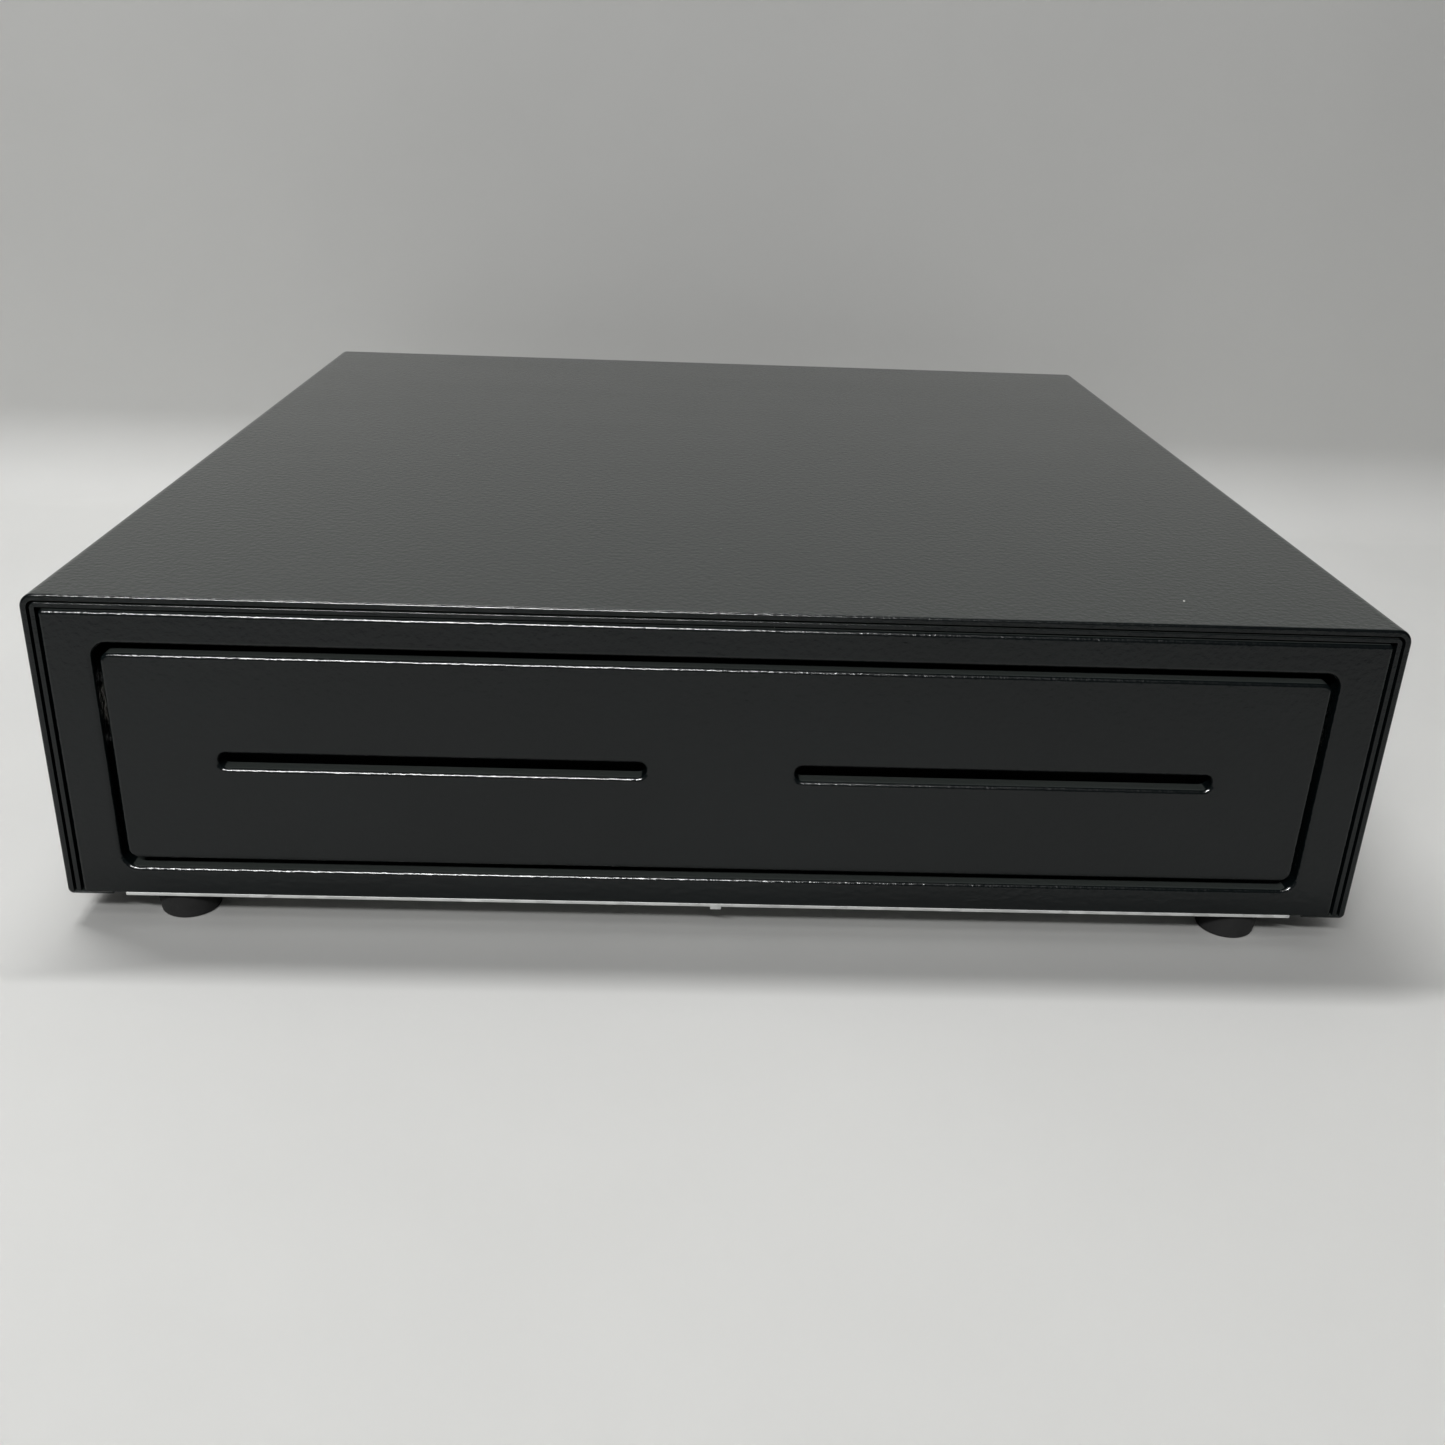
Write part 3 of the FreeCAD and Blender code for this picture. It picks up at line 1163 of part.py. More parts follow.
def ejector():
    """A sprung pin in a tube on the rear panel that pushes the unlatched drawer open."""
    centre = ("ejector_x", f"{PAN_TOP} + ejector_rise")
    start = f"({PANEL_FRONT} - ejector_housing_length)"
    blank = fuse("ejector_blank", [
        cylinder("ejector_barrel", "y", centre, "ejector_housing_radius", start, PANEL_FRONT),
        cylinder("ejector_flange", "y", centre, "ejector_flange_radius", f"{PANEL_FRONT} - bracket_sheet",
                 PANEL_FRONT),
    ])
    bore = cylinder("ejector_bore", "y", centre, "ejector_radius + ejector_play", start, PANEL_FRONT)
    keep(cut("ejector_housing", blank, bore))
    tip = f"({TRAY_BACK} + ejector_gap)"
    tail = f"({tip} + ejector_pin_length)"
    keep(fuse("ejector_pin", [
        cylinder("ejector_stem", "y", centre, "ejector_radius", tip, tail),
        cylinder("ejector_head", "y", centre, "ejector_head_radius", tip, f"{tip} + ejector_head"),
    ]))
    keep(tube("ejector_spring", "y", centre, "ejector_radius", "ejector_radius - spring_wire", tail,
              f"{PANEL_FRONT} - axle_side_play"))


def cable_socket():
    """A modular jack behind the rear panel, its snout filling the cut-out."""
    x, z = "socket_x", SOCKET_LEVEL
    half_x, half_z = "socket_width / 2", "socket_height / 2"
    blank = fuse("socket_blank", [
        box("socket_case", (f"{x} - {half_x}", f"{x} + {half_x}"),
            (f"{PANEL_FRONT} - socket_depth", PANEL_FRONT),
            (f"{z} - {half_z}", f"{z} + {half_z}")),
        box("socket_snout", (f"{x} - {half_x} + shell_sheet", f"{x} + {half_x} - shell_sheet"),
            (PANEL_FRONT, PANEL_BACK), (f"{z} - {half_z} + shell_sheet", f"{z} + {half_z} - shell_sheet")),
    ])
    port = box("socket_port", (f"{x} - port_width / 2", f"{x} + port_width / 2"),
               (f"{PANEL_BACK} - port_depth", PANEL_BACK),
               (f"{z} - port_height / 2", f"{z} + port_height / 2"))
    keep(cut("cable_socket", blank, port))


# ---------------------------------------------------------------- build and write

cabinet_shell()
front_frame()
front_bezel()
base_pan()
rear_panel()
rear_fixings()
feet()
for name, side in SIDES:
    rail_bracket(name, side)
    roller_track(name, side)
    drawer_rail(name, side)
    roller("front_roller_" + name, side, "front_roller_radius", FRONT_ROLLER_Y, FRONT_ROLLER_Z, True)
    roller("rear_roller_" + name, side, REAR_RADIUS, REAR_ROLLER_Y, REAR_ROLLER_Z, False)
axles()
stop_bumpers()
drawer_front()
drawer_tray()
front_nuts()
media_guide()
till_ledges()
till_tray()
bill_dividers()
coin_cups()
clip_rod()
clip_springs()
for step in range(int(sheet.bay_count)):
    bill_clip(step)
latch_bracket()
latch_pin()
latch_hook()
striker()
solenoid()
drawer_switch()
ejector()
cable_socket()
doc.recompute()

failed = [
    f"{thing.Label} of {', '.join(user.Label for user in thing.InList)}"
    for thing in doc.Objects
    if {"Invalid", "Error"} & set(thing.State)
]
if failed:
    raise RuntimeError("failed: " + "; ".join(failed))
os.makedirs("parts", exist_ok=True)
for node in nodes:
    if node.Shape.isNull() or not node.Shape.isValid():
        raise RuntimeError(node.Label + " has no valid shape")
    node.Shape.exportStep(f"parts/{node.Label}.step")
print(len(nodes), "nodes written")
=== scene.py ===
import json
import math

import bpy
from bpy.props import FloatProperty, FloatVectorProperty, IntProperty, PointerProperty
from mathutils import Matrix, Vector

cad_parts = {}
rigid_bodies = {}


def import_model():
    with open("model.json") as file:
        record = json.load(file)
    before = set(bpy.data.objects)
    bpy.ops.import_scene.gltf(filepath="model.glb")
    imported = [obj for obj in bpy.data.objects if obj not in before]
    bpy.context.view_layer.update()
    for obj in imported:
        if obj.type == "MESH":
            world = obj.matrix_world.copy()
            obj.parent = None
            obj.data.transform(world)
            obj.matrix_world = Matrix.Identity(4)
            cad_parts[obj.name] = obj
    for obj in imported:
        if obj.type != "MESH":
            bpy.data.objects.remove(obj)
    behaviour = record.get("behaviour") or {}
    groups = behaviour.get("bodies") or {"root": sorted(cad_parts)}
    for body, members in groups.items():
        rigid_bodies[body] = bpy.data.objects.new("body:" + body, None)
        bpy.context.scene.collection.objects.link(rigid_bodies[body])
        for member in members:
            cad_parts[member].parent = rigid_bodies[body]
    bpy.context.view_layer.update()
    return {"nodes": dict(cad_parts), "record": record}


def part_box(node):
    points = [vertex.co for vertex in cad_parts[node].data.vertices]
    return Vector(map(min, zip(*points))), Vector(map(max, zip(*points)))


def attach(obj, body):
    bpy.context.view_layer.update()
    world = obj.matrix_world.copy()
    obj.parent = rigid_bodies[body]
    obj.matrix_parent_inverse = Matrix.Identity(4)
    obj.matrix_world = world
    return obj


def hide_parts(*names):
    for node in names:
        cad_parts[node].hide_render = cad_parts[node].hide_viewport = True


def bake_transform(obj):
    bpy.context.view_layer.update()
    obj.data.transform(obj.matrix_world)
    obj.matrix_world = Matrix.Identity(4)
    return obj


bl_info = {
    "name": "Cash Drawer",
    "version": (1, 0, 0),
    "blender": (4, 5, 0),
    "location": "View3D > Sidebar > Cash Drawer",
    "description": "Finishes a steel cash drawer: powder coat, bare zinc, till, latch and studio",
    "category": "Object",
}

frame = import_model()
SLOT_OF = {part["node"]: part["material_slot"] for part in frame["record"]["subparts"]}
BODY_OF = {
    node: body
    for body, members in frame["record"]["behaviour"]["bodies"].items()
    for node in members
}
MM = 0.001
BAYS = 5

# how a CAD copy is cleaned and judged
WELD = 0.004 * MM
FLAT_ANGLE = math.radians(0.3)
SMOOTH_ANGLE = math.radians(32)
NORMAL_WEIGHT = 60
FLAT_DRIFT = 0.005
BEVEL_DRIFT = 0.08
BEVEL_SHARES = (1.0, 0.9, 0.7, 0.5)

# how a coil is drawn
WIRE_SIDES = 10
TURN_STEPS = 28
COIL_SMOOTH_ANGLE = math.radians(50)
COIL_TURNED = {"x": (0, math.pi / 2, 0), "y": (-math.pi / 2, 0, 0)}

# sockets of the colour form of a Mix node, whose names repeat
MIX_FIRST, MIX_SECOND, MIX_RESULT = 6, 7, 2
# the middle stretch of a noise, where almost all of it lies
NOISE_LOW, NOISE_HIGH = 0.3, 0.7
CLOUD_LOW, CLOUD_HIGH = 0.35, 0.65

# lamps: place, aim and size of each
LONG_LAMP = (-0.1, 0.27, 1.75), (0.0, -0.2, 0.0), (1.5, 0.06)
FRONT_LAMP = (-0.45, -1.75, 1.5), (0.0, -0.1, 0.1), (1.1, 0.1)
EDGE_LAMP = (-0.45, -1.75, 1.5), (0.0, -0.1, 0.1), (1.1, 0.06)
WALL_FILL = (-0.2, -0.9, 1.4), (0.0, 0.32, 1.0), (1.6, 0.5)
ROOM_COLOUR = (0.95, 0.97, 1.0, 1.0)
PAPER_BEND_STEPS = 12
# where the paper in front of the drawer starts to fall into painted shade, and where it has
SHADE_FROM, SHADE_FULL = -0.45, -0.95


# ---------------------------------------------------------------- settings

class EdgeSettings(bpy.types.PropertyGroup):
    """How far each kind of edge is broken."""
    sheet: FloatProperty(name="Painted sheet",
                         description="Bevel on the painted sheet's cut edges",
                         default=0.28 * MM, unit="LENGTH")
    zinc: FloatProperty(name="Bare sheet", description="Bevel on bare zinc-coated sheet",
                        default=0.15 * MM, unit="LENGTH")
    moulded: FloatProperty(name="Mouldings", description="Bevel on moulded plastic",
                           default=0.5 * MM, unit="LENGTH")
    turned: FloatProperty(name="Turned parts", description="Bevel on rollers, pins and rubber",
                          default=0.3 * MM, unit="LENGTH")
    steps: IntProperty(name="Steps", description="Segments across a bevel", default=3, min=1)
    limit: FloatProperty(name="Limit", description="Edges sharper than this are bevelled",
                         default=math.radians(38), subtype="ANGLE")


class FinishSettings(bpy.types.PropertyGroup):
    """Colours of the materials."""
    coat: FloatVectorProperty(name="Powder coat", description="Semi-gloss black powder coat",
                              default=(0.0007, 0.0012, 0.0013), subtype="COLOR")
    # The next colour paints level faces lighter: a painted sheen standing in for the top's grazing
    # reflection.
    level_sheen: FloatVectorProperty(name="Painted sheen",
                              description="Lighter colour on level faces, a painted sheen",
                              default=(0.0105, 0.0121, 0.0114), subtype="COLOR")
    dust: FloatVectorProperty(name="Dust", description="Specks on top of the cabinet",
                              default=(0.42, 0.42, 0.40), subtype="COLOR")
    tray_coat: FloatVectorProperty(name="Tray coat", description="Matt black coat inside",
                                   default=(0.017, 0.017, 0.018), subtype="COLOR")
    zinc: FloatVectorProperty(name="Zinc", description="Bare zinc-coated steel",
                              default=(0.50, 0.51, 0.50), subtype="COLOR")
    steel: FloatVectorProperty(name="Fasteners", description="Zinc-plated small parts",
                               default=(0.47, 0.46, 0.42), subtype="COLOR")
    nickel: FloatVectorProperty(name="Nickel", description="Nickel-plated clips and springs",
                                default=(0.66, 0.64, 0.60), subtype="COLOR")
    rubber: FloatVectorProperty(name="Rubber", description="Feet and bumpers",
                                default=(0.004, 0.004, 0.004), subtype="COLOR")
    nylon: FloatVectorProperty(name="Nylon", description="Rollers",
                               default=(0.74, 0.72, 0.65), subtype="COLOR")
    till: FloatVectorProperty(name="Till", description="Moulded till and dividers",
                              default=(0.022, 0.022, 0.024), subtype="COLOR")
    cup: FloatVectorProperty(name="Cups", description="Coin cups",
                             default=(0.036, 0.037, 0.040), subtype="COLOR")
    tape: FloatVectorProperty(name="Coil tape", description="Amber tape round the coil",
                              default=(0.50, 0.22, 0.03), subtype="COLOR")
    phenolic: FloatVectorProperty(name="Switch", description="Switch case",
                                  default=(0.015, 0.015, 0.017), subtype="COLOR")
    jack: FloatVectorProperty(name="Socket", description="Cable socket",
                              default=(0.018, 0.018, 0.020), subtype="COLOR")


class SpringSettings(bpy.types.PropertyGroup):
    """Coil springs."""
    plunger_wire: FloatProperty(name="Plunger wire",
                                description="Wire diameter of the plunger's spring",
                                default=0.7 * MM, unit="LENGTH")
    ejector_wire: FloatProperty(name="Ejector wire",
                                description="Wire diameter of the ejector's spring",
                                default=0.9 * MM, unit="LENGTH")
    clip_wire: FloatProperty(name="Clip wire",
                             description="Wire diameter of a bill clip's spring",
                             default=1.0 * MM, unit="LENGTH")
    plunger_turns: IntProperty(name="Plunger turns",
                               description="Turns of the plunger's spring",
                               default=4)
    ejector_turns: IntProperty(name="Ejector turns",
                               description="Turns of the ejector's spring",
                               default=7)
    clip_turns: IntProperty(name="Clip turns",
                            description="Turns of a bill clip's spring",
                            default=9)


class StageSettings(bpy.types.PropertyGroup):
    """Floor, lights and camera."""
    reach: FloatProperty(name="Floor reach",
                         description="How far the floor runs to each side and forward",
                         default=3.0, unit="LENGTH")
    wall: FloatProperty(name="Wall", description="How far behind the origin the paper turns up",
                        default=0.32, unit="LENGTH")
    height: FloatProperty(name="Wall height",
                          description="Height of the paper behind the drawer",
                          default=2.2, unit="LENGTH")
    sweep: FloatProperty(name="Sweep",
                         description="Radius where the paper turns up",
                         default=0.05,
                         unit="LENGTH")
    pale: FloatVectorProperty(name="Paper",
                              description="Pale paper under and behind the drawer",
                              default=(0.62, 0.62, 0.605), subtype="COLOR")
    # painted shade: the darker colour the paper is painted far in front of the drawer
    painted_shade: FloatVectorProperty(name="Paper, far in front",
                             description="Where the paper falls into shade",
                             default=(0.13, 0.13, 0.125), subtype="COLOR")
    key: FloatProperty(name="Key light",
                       description="Power of the long lamp overhead",
                       default=30.0)
    front: FloatProperty(name="Front lamp",
                         description="Power of the long lamp above the camera",
                         default=20.0)
    glint: FloatProperty(name="Edge lamp",
                         description="Power of the lamp that only picks out the edges",
                         default=120.0)
    fill: FloatProperty(name="Fill light",
                        description="Power of the soft light thrown on the wall",
                        default=3.5)
    sky: FloatProperty(name="Room light",
                       description="Strength of the even light of the room",
                       default=0.05)
    lens: FloatProperty(name="Lens",
                        description="Focal length on a 36 mm sensor, in millimetres",
                        default=35.49)
    eye: FloatVectorProperty(name="Eye", description="Where the camera stands",
                             default=(-0.01435, -0.60132, 0.24986), subtype="TRANSLATION")
    turn: FloatVectorProperty(name="Turn",
                              description="How the camera is turned",
                              subtype="EULER",
                              default=[math.radians(angle) for angle in (66.027, -2.038, -1.167)])


# ---------------------------------------------------------------- tools for meshes

def alone(thing):
    """Leaves only one object selected and active."""
    bpy.ops.object.select_all(action="DESELECT")
    thing.select_set(True)
    bpy.context.view_layer.objects.active = thing


def finish_piece(piece, name, node, rides=True):
    """Names a piece, gives it its finish and body, and lets it stand for its CAD node."""
    piece.name = name
    piece.data.name = name
    piece.data.materials.clear()
    piece.data.materials.append(material(SLOT_OF[node]))
    alone(piece)
    bpy.ops.object.transform_apply(location=True, rotation=True, scale=True)
    if rides:
        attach(piece, BODY_OF[node])
    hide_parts(node)
    return piece


def finish_spring(piece, name, node):
    """Finishes a coil seated on the cabinet, and bakes its placing into its mesh."""
    finish_piece(piece, name, node, rides=False)
    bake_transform(piece)


def apply_modifier(piece, kind, **values):
    """Adds a modifier with these values and applies it at once."""
    modifier = piece.modifiers.new(kind.title(), kind)
    for key, value in values.items():
        setattr(modifier, key, value)
    alone(piece)
    bpy.ops.object.modifier_apply(modifier=modifier.name)


def surface(piece):
    """The area of the triangles that are drawn, which grows if a flat face is split badly."""
    piece.data.calc_loop_triangles()
    return sum(triangle.area for triangle in piece.data.loop_triangles)


def volume(piece):
    """The volume inside a closed mesh, by the divergence theorem over its triangles."""
    mesh = piece.data
    mesh.calc_loop_triangles()
    total = 0.0
    for triangle in mesh.loop_triangles:
        first, second, third = (mesh.vertices[corner].co for corner in triangle.vertices)
        total += first.dot(second.cross(third)) / 6
    return total


def join_flats(piece):
    """Joins the triangles of each flat face into one face."""
    alone(piece)
    bpy.ops.object.mode_set(mode="EDIT")
    bpy.ops.mesh.select_all(action="SELECT")
    bpy.ops.mesh.dissolve_limited(angle_limit=FLAT_ANGLE)
    bpy.ops.object.mode_set(mode="OBJECT")


def kept_if_true(piece, change, drift):
    """Makes a change, and takes it back if the area or the volume moved by more than this share."""
    before = piece.data.copy()
    area, inside = surface(piece), volume(piece)
    change()
    true = abs(surface(piece) / area - 1) <= drift and abs(volume(piece) / inside - 1) <= drift
    if not true:
        piece.data = before
    return true


def broken_edges(piece, width):
    """Bevels the sharp edges."""
    edges = bpy.context.scene.drawer_edges
    apply_modifier(piece, "BEVEL", width=width, segments=edges.steps, limit_method="ANGLE",
                   angle_limit=edges.limit, use_clamp_overlap=True, miter_outer="MITER_ARC")


def refined(node, width):
    """A merged copy of a CAD node with its flat faces joined and its sharp edges broken."""
    alone(frame["nodes"][node])
    bpy.ops.object.duplicate()
    piece = bpy.context.active_object
    bpy.ops.object.parent_clear(type="CLEAR_KEEP_TRANSFORM")
    for key in list(piece.keys()):
        del piece[key]
    bpy.ops.mesh.customdata_custom_splitnormals_clear()
    bpy.ops.object.mode_set(mode="EDIT")
    bpy.ops.mesh.select_all(action="SELECT")
    bpy.ops.mesh.remove_doubles(threshold=WELD)
    bpy.ops.object.mode_set(mode="OBJECT")
    kept_if_true(piece, lambda: join_flats(piece), FLAT_DRIFT)
    for share in BEVEL_SHARES:
        if kept_if_true(piece, lambda: broken_edges(piece, width * share), BEVEL_DRIFT):
            break
    alone(piece)
    bpy.ops.object.shade_smooth_by_angle(angle=SMOOTH_ANGLE)
    apply_modifier(piece, "WEIGHTED_NORMAL", keep_sharp=True, mode="FACE_AREA",
                   weight=NORMAL_WEIGHT)
    return finish_piece(piece, node + "_finished", node)


def coil(node, axis, wire, turns):
    """A round-wire spring that fills the sleeve standing for it in the CAD model."""
    return coil_between(*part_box(node), axis, wire, turns)


def coil_between(low, high, axis, wire, turns):
    """A round-wire spring that fills a box along an axis."""
    along = "xyz".index(axis)
    side = (along + 1) % 3
    length = high[along] - low[along]
    radius = (high[side] - low[side]) / 2 - wire / 2
    pitch = (length - wire) / turns
    bpy.ops.mesh.primitive_circle_add(
        vertices=WIRE_SIDES, radius=wire / 2, rotation=(math.pi / 2, 0, 0),
        location=(radius, 0, -length / 2 + wire / 2))
    piece = bpy.context.active_object
    bpy.ops.object.transform_apply(location=True, rotation=True, scale=True)
    apply_modifier(piece, "SCREW", axis="Z", screw_offset=pitch, iterations=turns,
                   steps=TURN_STEPS, render_steps=TURN_STEPS, use_merge_vertices=True,
                   merge_threshold=wire / 100)
    bpy.ops.object.mode_set(mode="EDIT")
    bpy.ops.mesh.select_all(action="DESELECT")
    bpy.ops.mesh.select_non_manifold()
    bpy.ops.mesh.fill_holes(sides=0)
    bpy.ops.mesh.select_all(action="SELECT")
    bpy.ops.mesh.normals_make_consistent(inside=False)
    bpy.ops.object.mode_set(mode="OBJECT")
    bpy.ops.object.shade_smooth_by_angle(angle=COIL_SMOOTH_ANGLE)
    piece.rotation_euler = COIL_TURNED[axis]
    piece.location = (low + high) / 2
    return piece


def joined(pieces):
    """Joins several objects into one."""
    bpy.ops.object.select_all(action="DESELECT")
    for piece in pieces:
        piece.select_set(True)
    bpy.context.view_layer.objects.active = pieces[0]
    bpy.ops.object.join()
    return bpy.context.active_object


# ---------------------------------------------------------------- materials

class Nodes:
    """Short calls for the nodes of one material."""

    def __init__(self, name):
        self.material = bpy.data.materials.new(name)
        self.material.use_nodes = True
        self.tree = self.material.node_tree
        self.shader = self.tree.nodes["Principled BSDF"]
        self.place = self.add("ShaderNodeTexCoord").outputs["Object"]

    def add(self, kind, **values):
        node = self.tree.nodes.new(kind)
        for key, value in values.items():
            setattr(node, key, value)
        return node

    def link(self, source, target):
        self.tree.links.new(source, target)

    def stretched(self, scale):
        mapping = self.add("ShaderNodeMapping")
        mapping.inputs["Scale"].default_value = scale
        self.link(self.place, mapping.inputs["Vector"])
        return mapping.outputs["Vector"]

    def noise(self, size, detail=2.0, vector=None):
        """Noise with features about size metres across."""
        texture = self.add("ShaderNodeTexNoise")
        texture.inputs["Scale"].default_value = 1 / size
        texture.inputs["Detail"].default_value = detail
        self.link(vector or self.place, texture.inputs["Vector"])
        return texture.outputs["Fac"]

    def cells(self, size):
        """Cells about size metres across."""
        texture = self.add("ShaderNodeTexVoronoi")
        texture.inputs["Scale"].default_value = 1 / size
        self.link(self.place, texture.inputs["Vector"])
        return texture

    def channels(self, colour):
        """The red, green and blue of a colour, apart."""
        split = self.add("ShaderNodeSeparateColor")
        self.link(colour, split.inputs["Color"])
        return split.outputs

    def parts_of(self, vector):
        """The X, Y and Z of a vector, apart."""
        split = self.add("ShaderNodeSeparateXYZ")
        self.link(vector, split.inputs["Vector"])
        return split.outputs

    def span(self, value, low, high, to_low=0.0, to_high=1.0):
        """Maps low..high to to_low..to_high, clamped."""
        node = self.add("ShaderNodeMapRange")
        bounds = {"From Min": low, "From Max": high, "To Min": to_low, "To Max": to_high}
        for key, number in bounds.items():
            node.inputs[key].default_value = number
        self.link(value, node.inputs["Value"])
        return node.outputs["Result"]

    def maths(self, operation, first, second):
        node = self.add("ShaderNodeMath", operation=operation)
        for socket, value in zip(node.inputs, (first, second)):
            if isinstance(value, (int, float)):
                socket.default_value = value
            else:
                self.link(value, socket)
        return node.outputs["Value"]

    def blend(self, factor, first, second):
        """Mixes two colours, each a colour or another node's output."""
        node = self.add("ShaderNodeMix", data_type="RGBA")
        for place, value in ((MIX_FIRST, first), (MIX_SECOND, second)):
            if hasattr(value, "is_linked"):
                self.link(value, node.inputs[place])
            else:
                node.inputs[place].default_value = (*value, 1)
        self.link(factor, node.inputs["Factor"])
        return node.outputs[MIX_RESULT]

    def bump(self, height, distance, strength=1.0, under=None):
        """A normal bumped by a height, on top of another bump if one is given."""
        node = self.add("ShaderNodeBump")
        node.inputs["Distance"].default_value = distance
        node.inputs["Strength"].default_value = strength
        self.link(height, node.inputs["Height"])
        if under is not None:
            self.link(under, node.inputs["Normal"])
        return node.outputs["Normal"]

    def shade(self, colour, roughness, normal=None, metallic=0.0, shine=0.5):
        """Sets the shader and gives back the finished material."""
        self.link(colour, self.shader.inputs["Base Color"])
        self.link(roughness, self.shader.inputs["Roughness"])
        if normal is not None:
            self.link(normal, self.shader.inputs["Normal"])
        self.shader.inputs["Metallic"].default_value = metallic
        self.shader.inputs["Specular IOR Level"].default_value = shine
        return self.material

    def clear_back(self):
        """Lets a sheet be seen through from its back, so that it hides nothing from behind."""
        back = self.add("ShaderNodeNewGeometry").outputs["Backfacing"]
        clear = self.add("ShaderNodeBsdfTransparent").outputs["BSDF"]
        either = self.add("ShaderNodeMixShader")
        for source, socket in zip((back, self.shader.outputs["BSDF"], clear), either.inputs):
            self.link(source, socket)
        self.link(either.outputs["Shader"], self.tree.nodes["Material Output"].inputs["Surface"])


def scaled(colour, factor):
    """A colour made darker or lighter."""
    return tuple(channel * factor for channel in colour)


def powder_coat(finish):
    """Semi-gloss coat: pebbled orange peel with a finer grain, faint wipe marks, dust specks and
    painted sheen on level faces.
    """
    work = Nodes("powder_coat")
    tone = work.span(work.noise(60 * MM, detail=4), CLOUD_LOW, CLOUD_HIGH)
    colour = work.blend(tone, scaled(finish.coat, 0.88), scaled(finish.coat, 1.15))
    specks = work.cells(7.5 * MM).outputs
    size = work.span(work.channels(specks["Color"])["Red"], 0.80, 1.0, 0.0, 0.055)
    spot = work.maths("LESS_THAN", specks["Distance"], size)
    facing = work.parts_of(work.add("ShaderNodeNewGeometry").outputs["Normal"])
    level = work.maths("GREATER_THAN", facing["Z"], 0.9)
    # Level faces take a lighter colour: painted sheen standing in for their grazing reflection. The
    # same mask keeps the dust specks on top faces.
    colour = work.blend(level, colour, finish.level_sheen)
    patches = work.span(work.noise(90 * MM, detail=3), 0.46, 0.58)
    dust = work.maths("MULTIPLY", work.maths("MULTIPLY", spot, level), patches)
    colour = work.blend(dust, colour, finish.dust)
    wipes = work.span(work.noise(1.0, detail=5, vector=work.stretched((9, 30, 20))),
                      0.35, 0.7, 0.0, 0.02)
    gloss = work.span(work.noise(0.5 * MM), NOISE_LOW, NOISE_HIGH, 0.15, 0.20)
    peel = work.bump(work.noise(1.9 * MM, detail=1), 0.16 * MM)
    grain = work.bump(work.noise(0.6 * MM, detail=1), 0.05 * MM, under=peel)
    return work.shade(colour, work.maths("ADD", wipes, gloss), grain, shine=0.33)


def tray_coat(finish):
    """Matt coat on the drawer's inside."""
    work = Nodes("tray_coat")
    tone = work.span(work.noise(40 * MM, detail=4), CLOUD_LOW, CLOUD_HIGH)
    colour = work.blend(tone, scaled(finish.tray_coat, 0.85), scaled(finish.tray_coat, 1.2))
    roughness = work.span(work.noise(3 * MM, detail=4), NOISE_LOW, NOISE_HIGH, 0.5, 0.62)
    return work.shade(colour, roughness, work.bump(work.noise(0.8 * MM), 0.04 * MM, 0.7))


def spangled_zinc(finish):
    """Hot-dip zinc: soft crystals that differ a little in tone and gloss, with rolling lines."""
    work = Nodes("spangled_zinc")
    grey = work.channels(work.cells(4.5 * MM).outputs["Color"])
    cloud = work.span(work.noise(25 * MM, detail=4), NOISE_LOW, NOISE_HIGH, 0.0, 0.5)
    tone = work.maths("ADD", work.span(grey["Red"], 0, 1, 0.0, 0.5), cloud)
    colour = work.blend(tone, scaled(finish.zinc, 0.82), scaled(finish.zinc, 1.12))
    roughness = work.span(grey["Green"], 0, 1, 0.50, 0.62)
    lines = work.noise(1.0, detail=2, vector=work.stretched((2500, 30, 2500)))
    return work.shade(colour, roughness, work.bump(lines, 0.004 * MM, 0.6), metallic=1.0)


def plated(name, colour, low, high):
    """A plated part: cloudy roughness from low to high, and fine turning marks."""
    work = Nodes(name)
    cloud = work.noise(3 * MM, detail=4)
    tone = work.span(cloud, NOISE_LOW, NOISE_HIGH)
    mixed = work.blend(tone, scaled(colour, 0.85), scaled(colour, 1.1))
    roughness = work.span(cloud, NOISE_LOW, NOISE_HIGH, low, high)
    marks = work.bump(work.noise(0.25 * MM), 0.006 * MM, 0.6)
    return work.shade(mixed, roughness, marks, metallic=1.0)


def moulded(name, colour, low, high, grain, depth, shine=0.5):
    """Moulded plastic or rubber: a spark-eroded grain, and roughness from low to high."""
    work = Nodes(name)
    cloud = work.span(work.noise(30 * MM, detail=5), NOISE_LOW, NOISE_HIGH)
    mixed = work.blend(cloud, scaled(colour, 0.86), scaled(colour, 1.16))
    roughness = work.span(work.noise(2.5 * MM, detail=4), NOISE_LOW, NOISE_HIGH, low, high)
    pits = work.bump(work.noise(grain, detail=3), depth, 0.8)
    return work.shade(mixed, roughness, pits, shine=shine)


def wound_tape(finish):
    """Tape wound round the coil: bands along X with a darker lap line."""
    work = Nodes("wound_tape")
    waves = work.add("ShaderNodeTexWave", bands_direction="X")
    waves.inputs["Scale"].default_value = 1 / (26 * MM)
    waves.inputs["Distortion"].default_value = 0.6
    work.link(work.place, waves.inputs["Vector"])
    lap = waves.outputs["Fac"]
    colour = work.blend(work.span(lap, 0.05, 0.4), scaled(finish.tape, 0.4), finish.tape)
    roughness = work.span(work.noise(2 * MM), NOISE_LOW, NOISE_HIGH, 0.3, 0.42)
    return work.shade(colour, roughness, work.bump(lap, 0.12 * MM, 0.8))


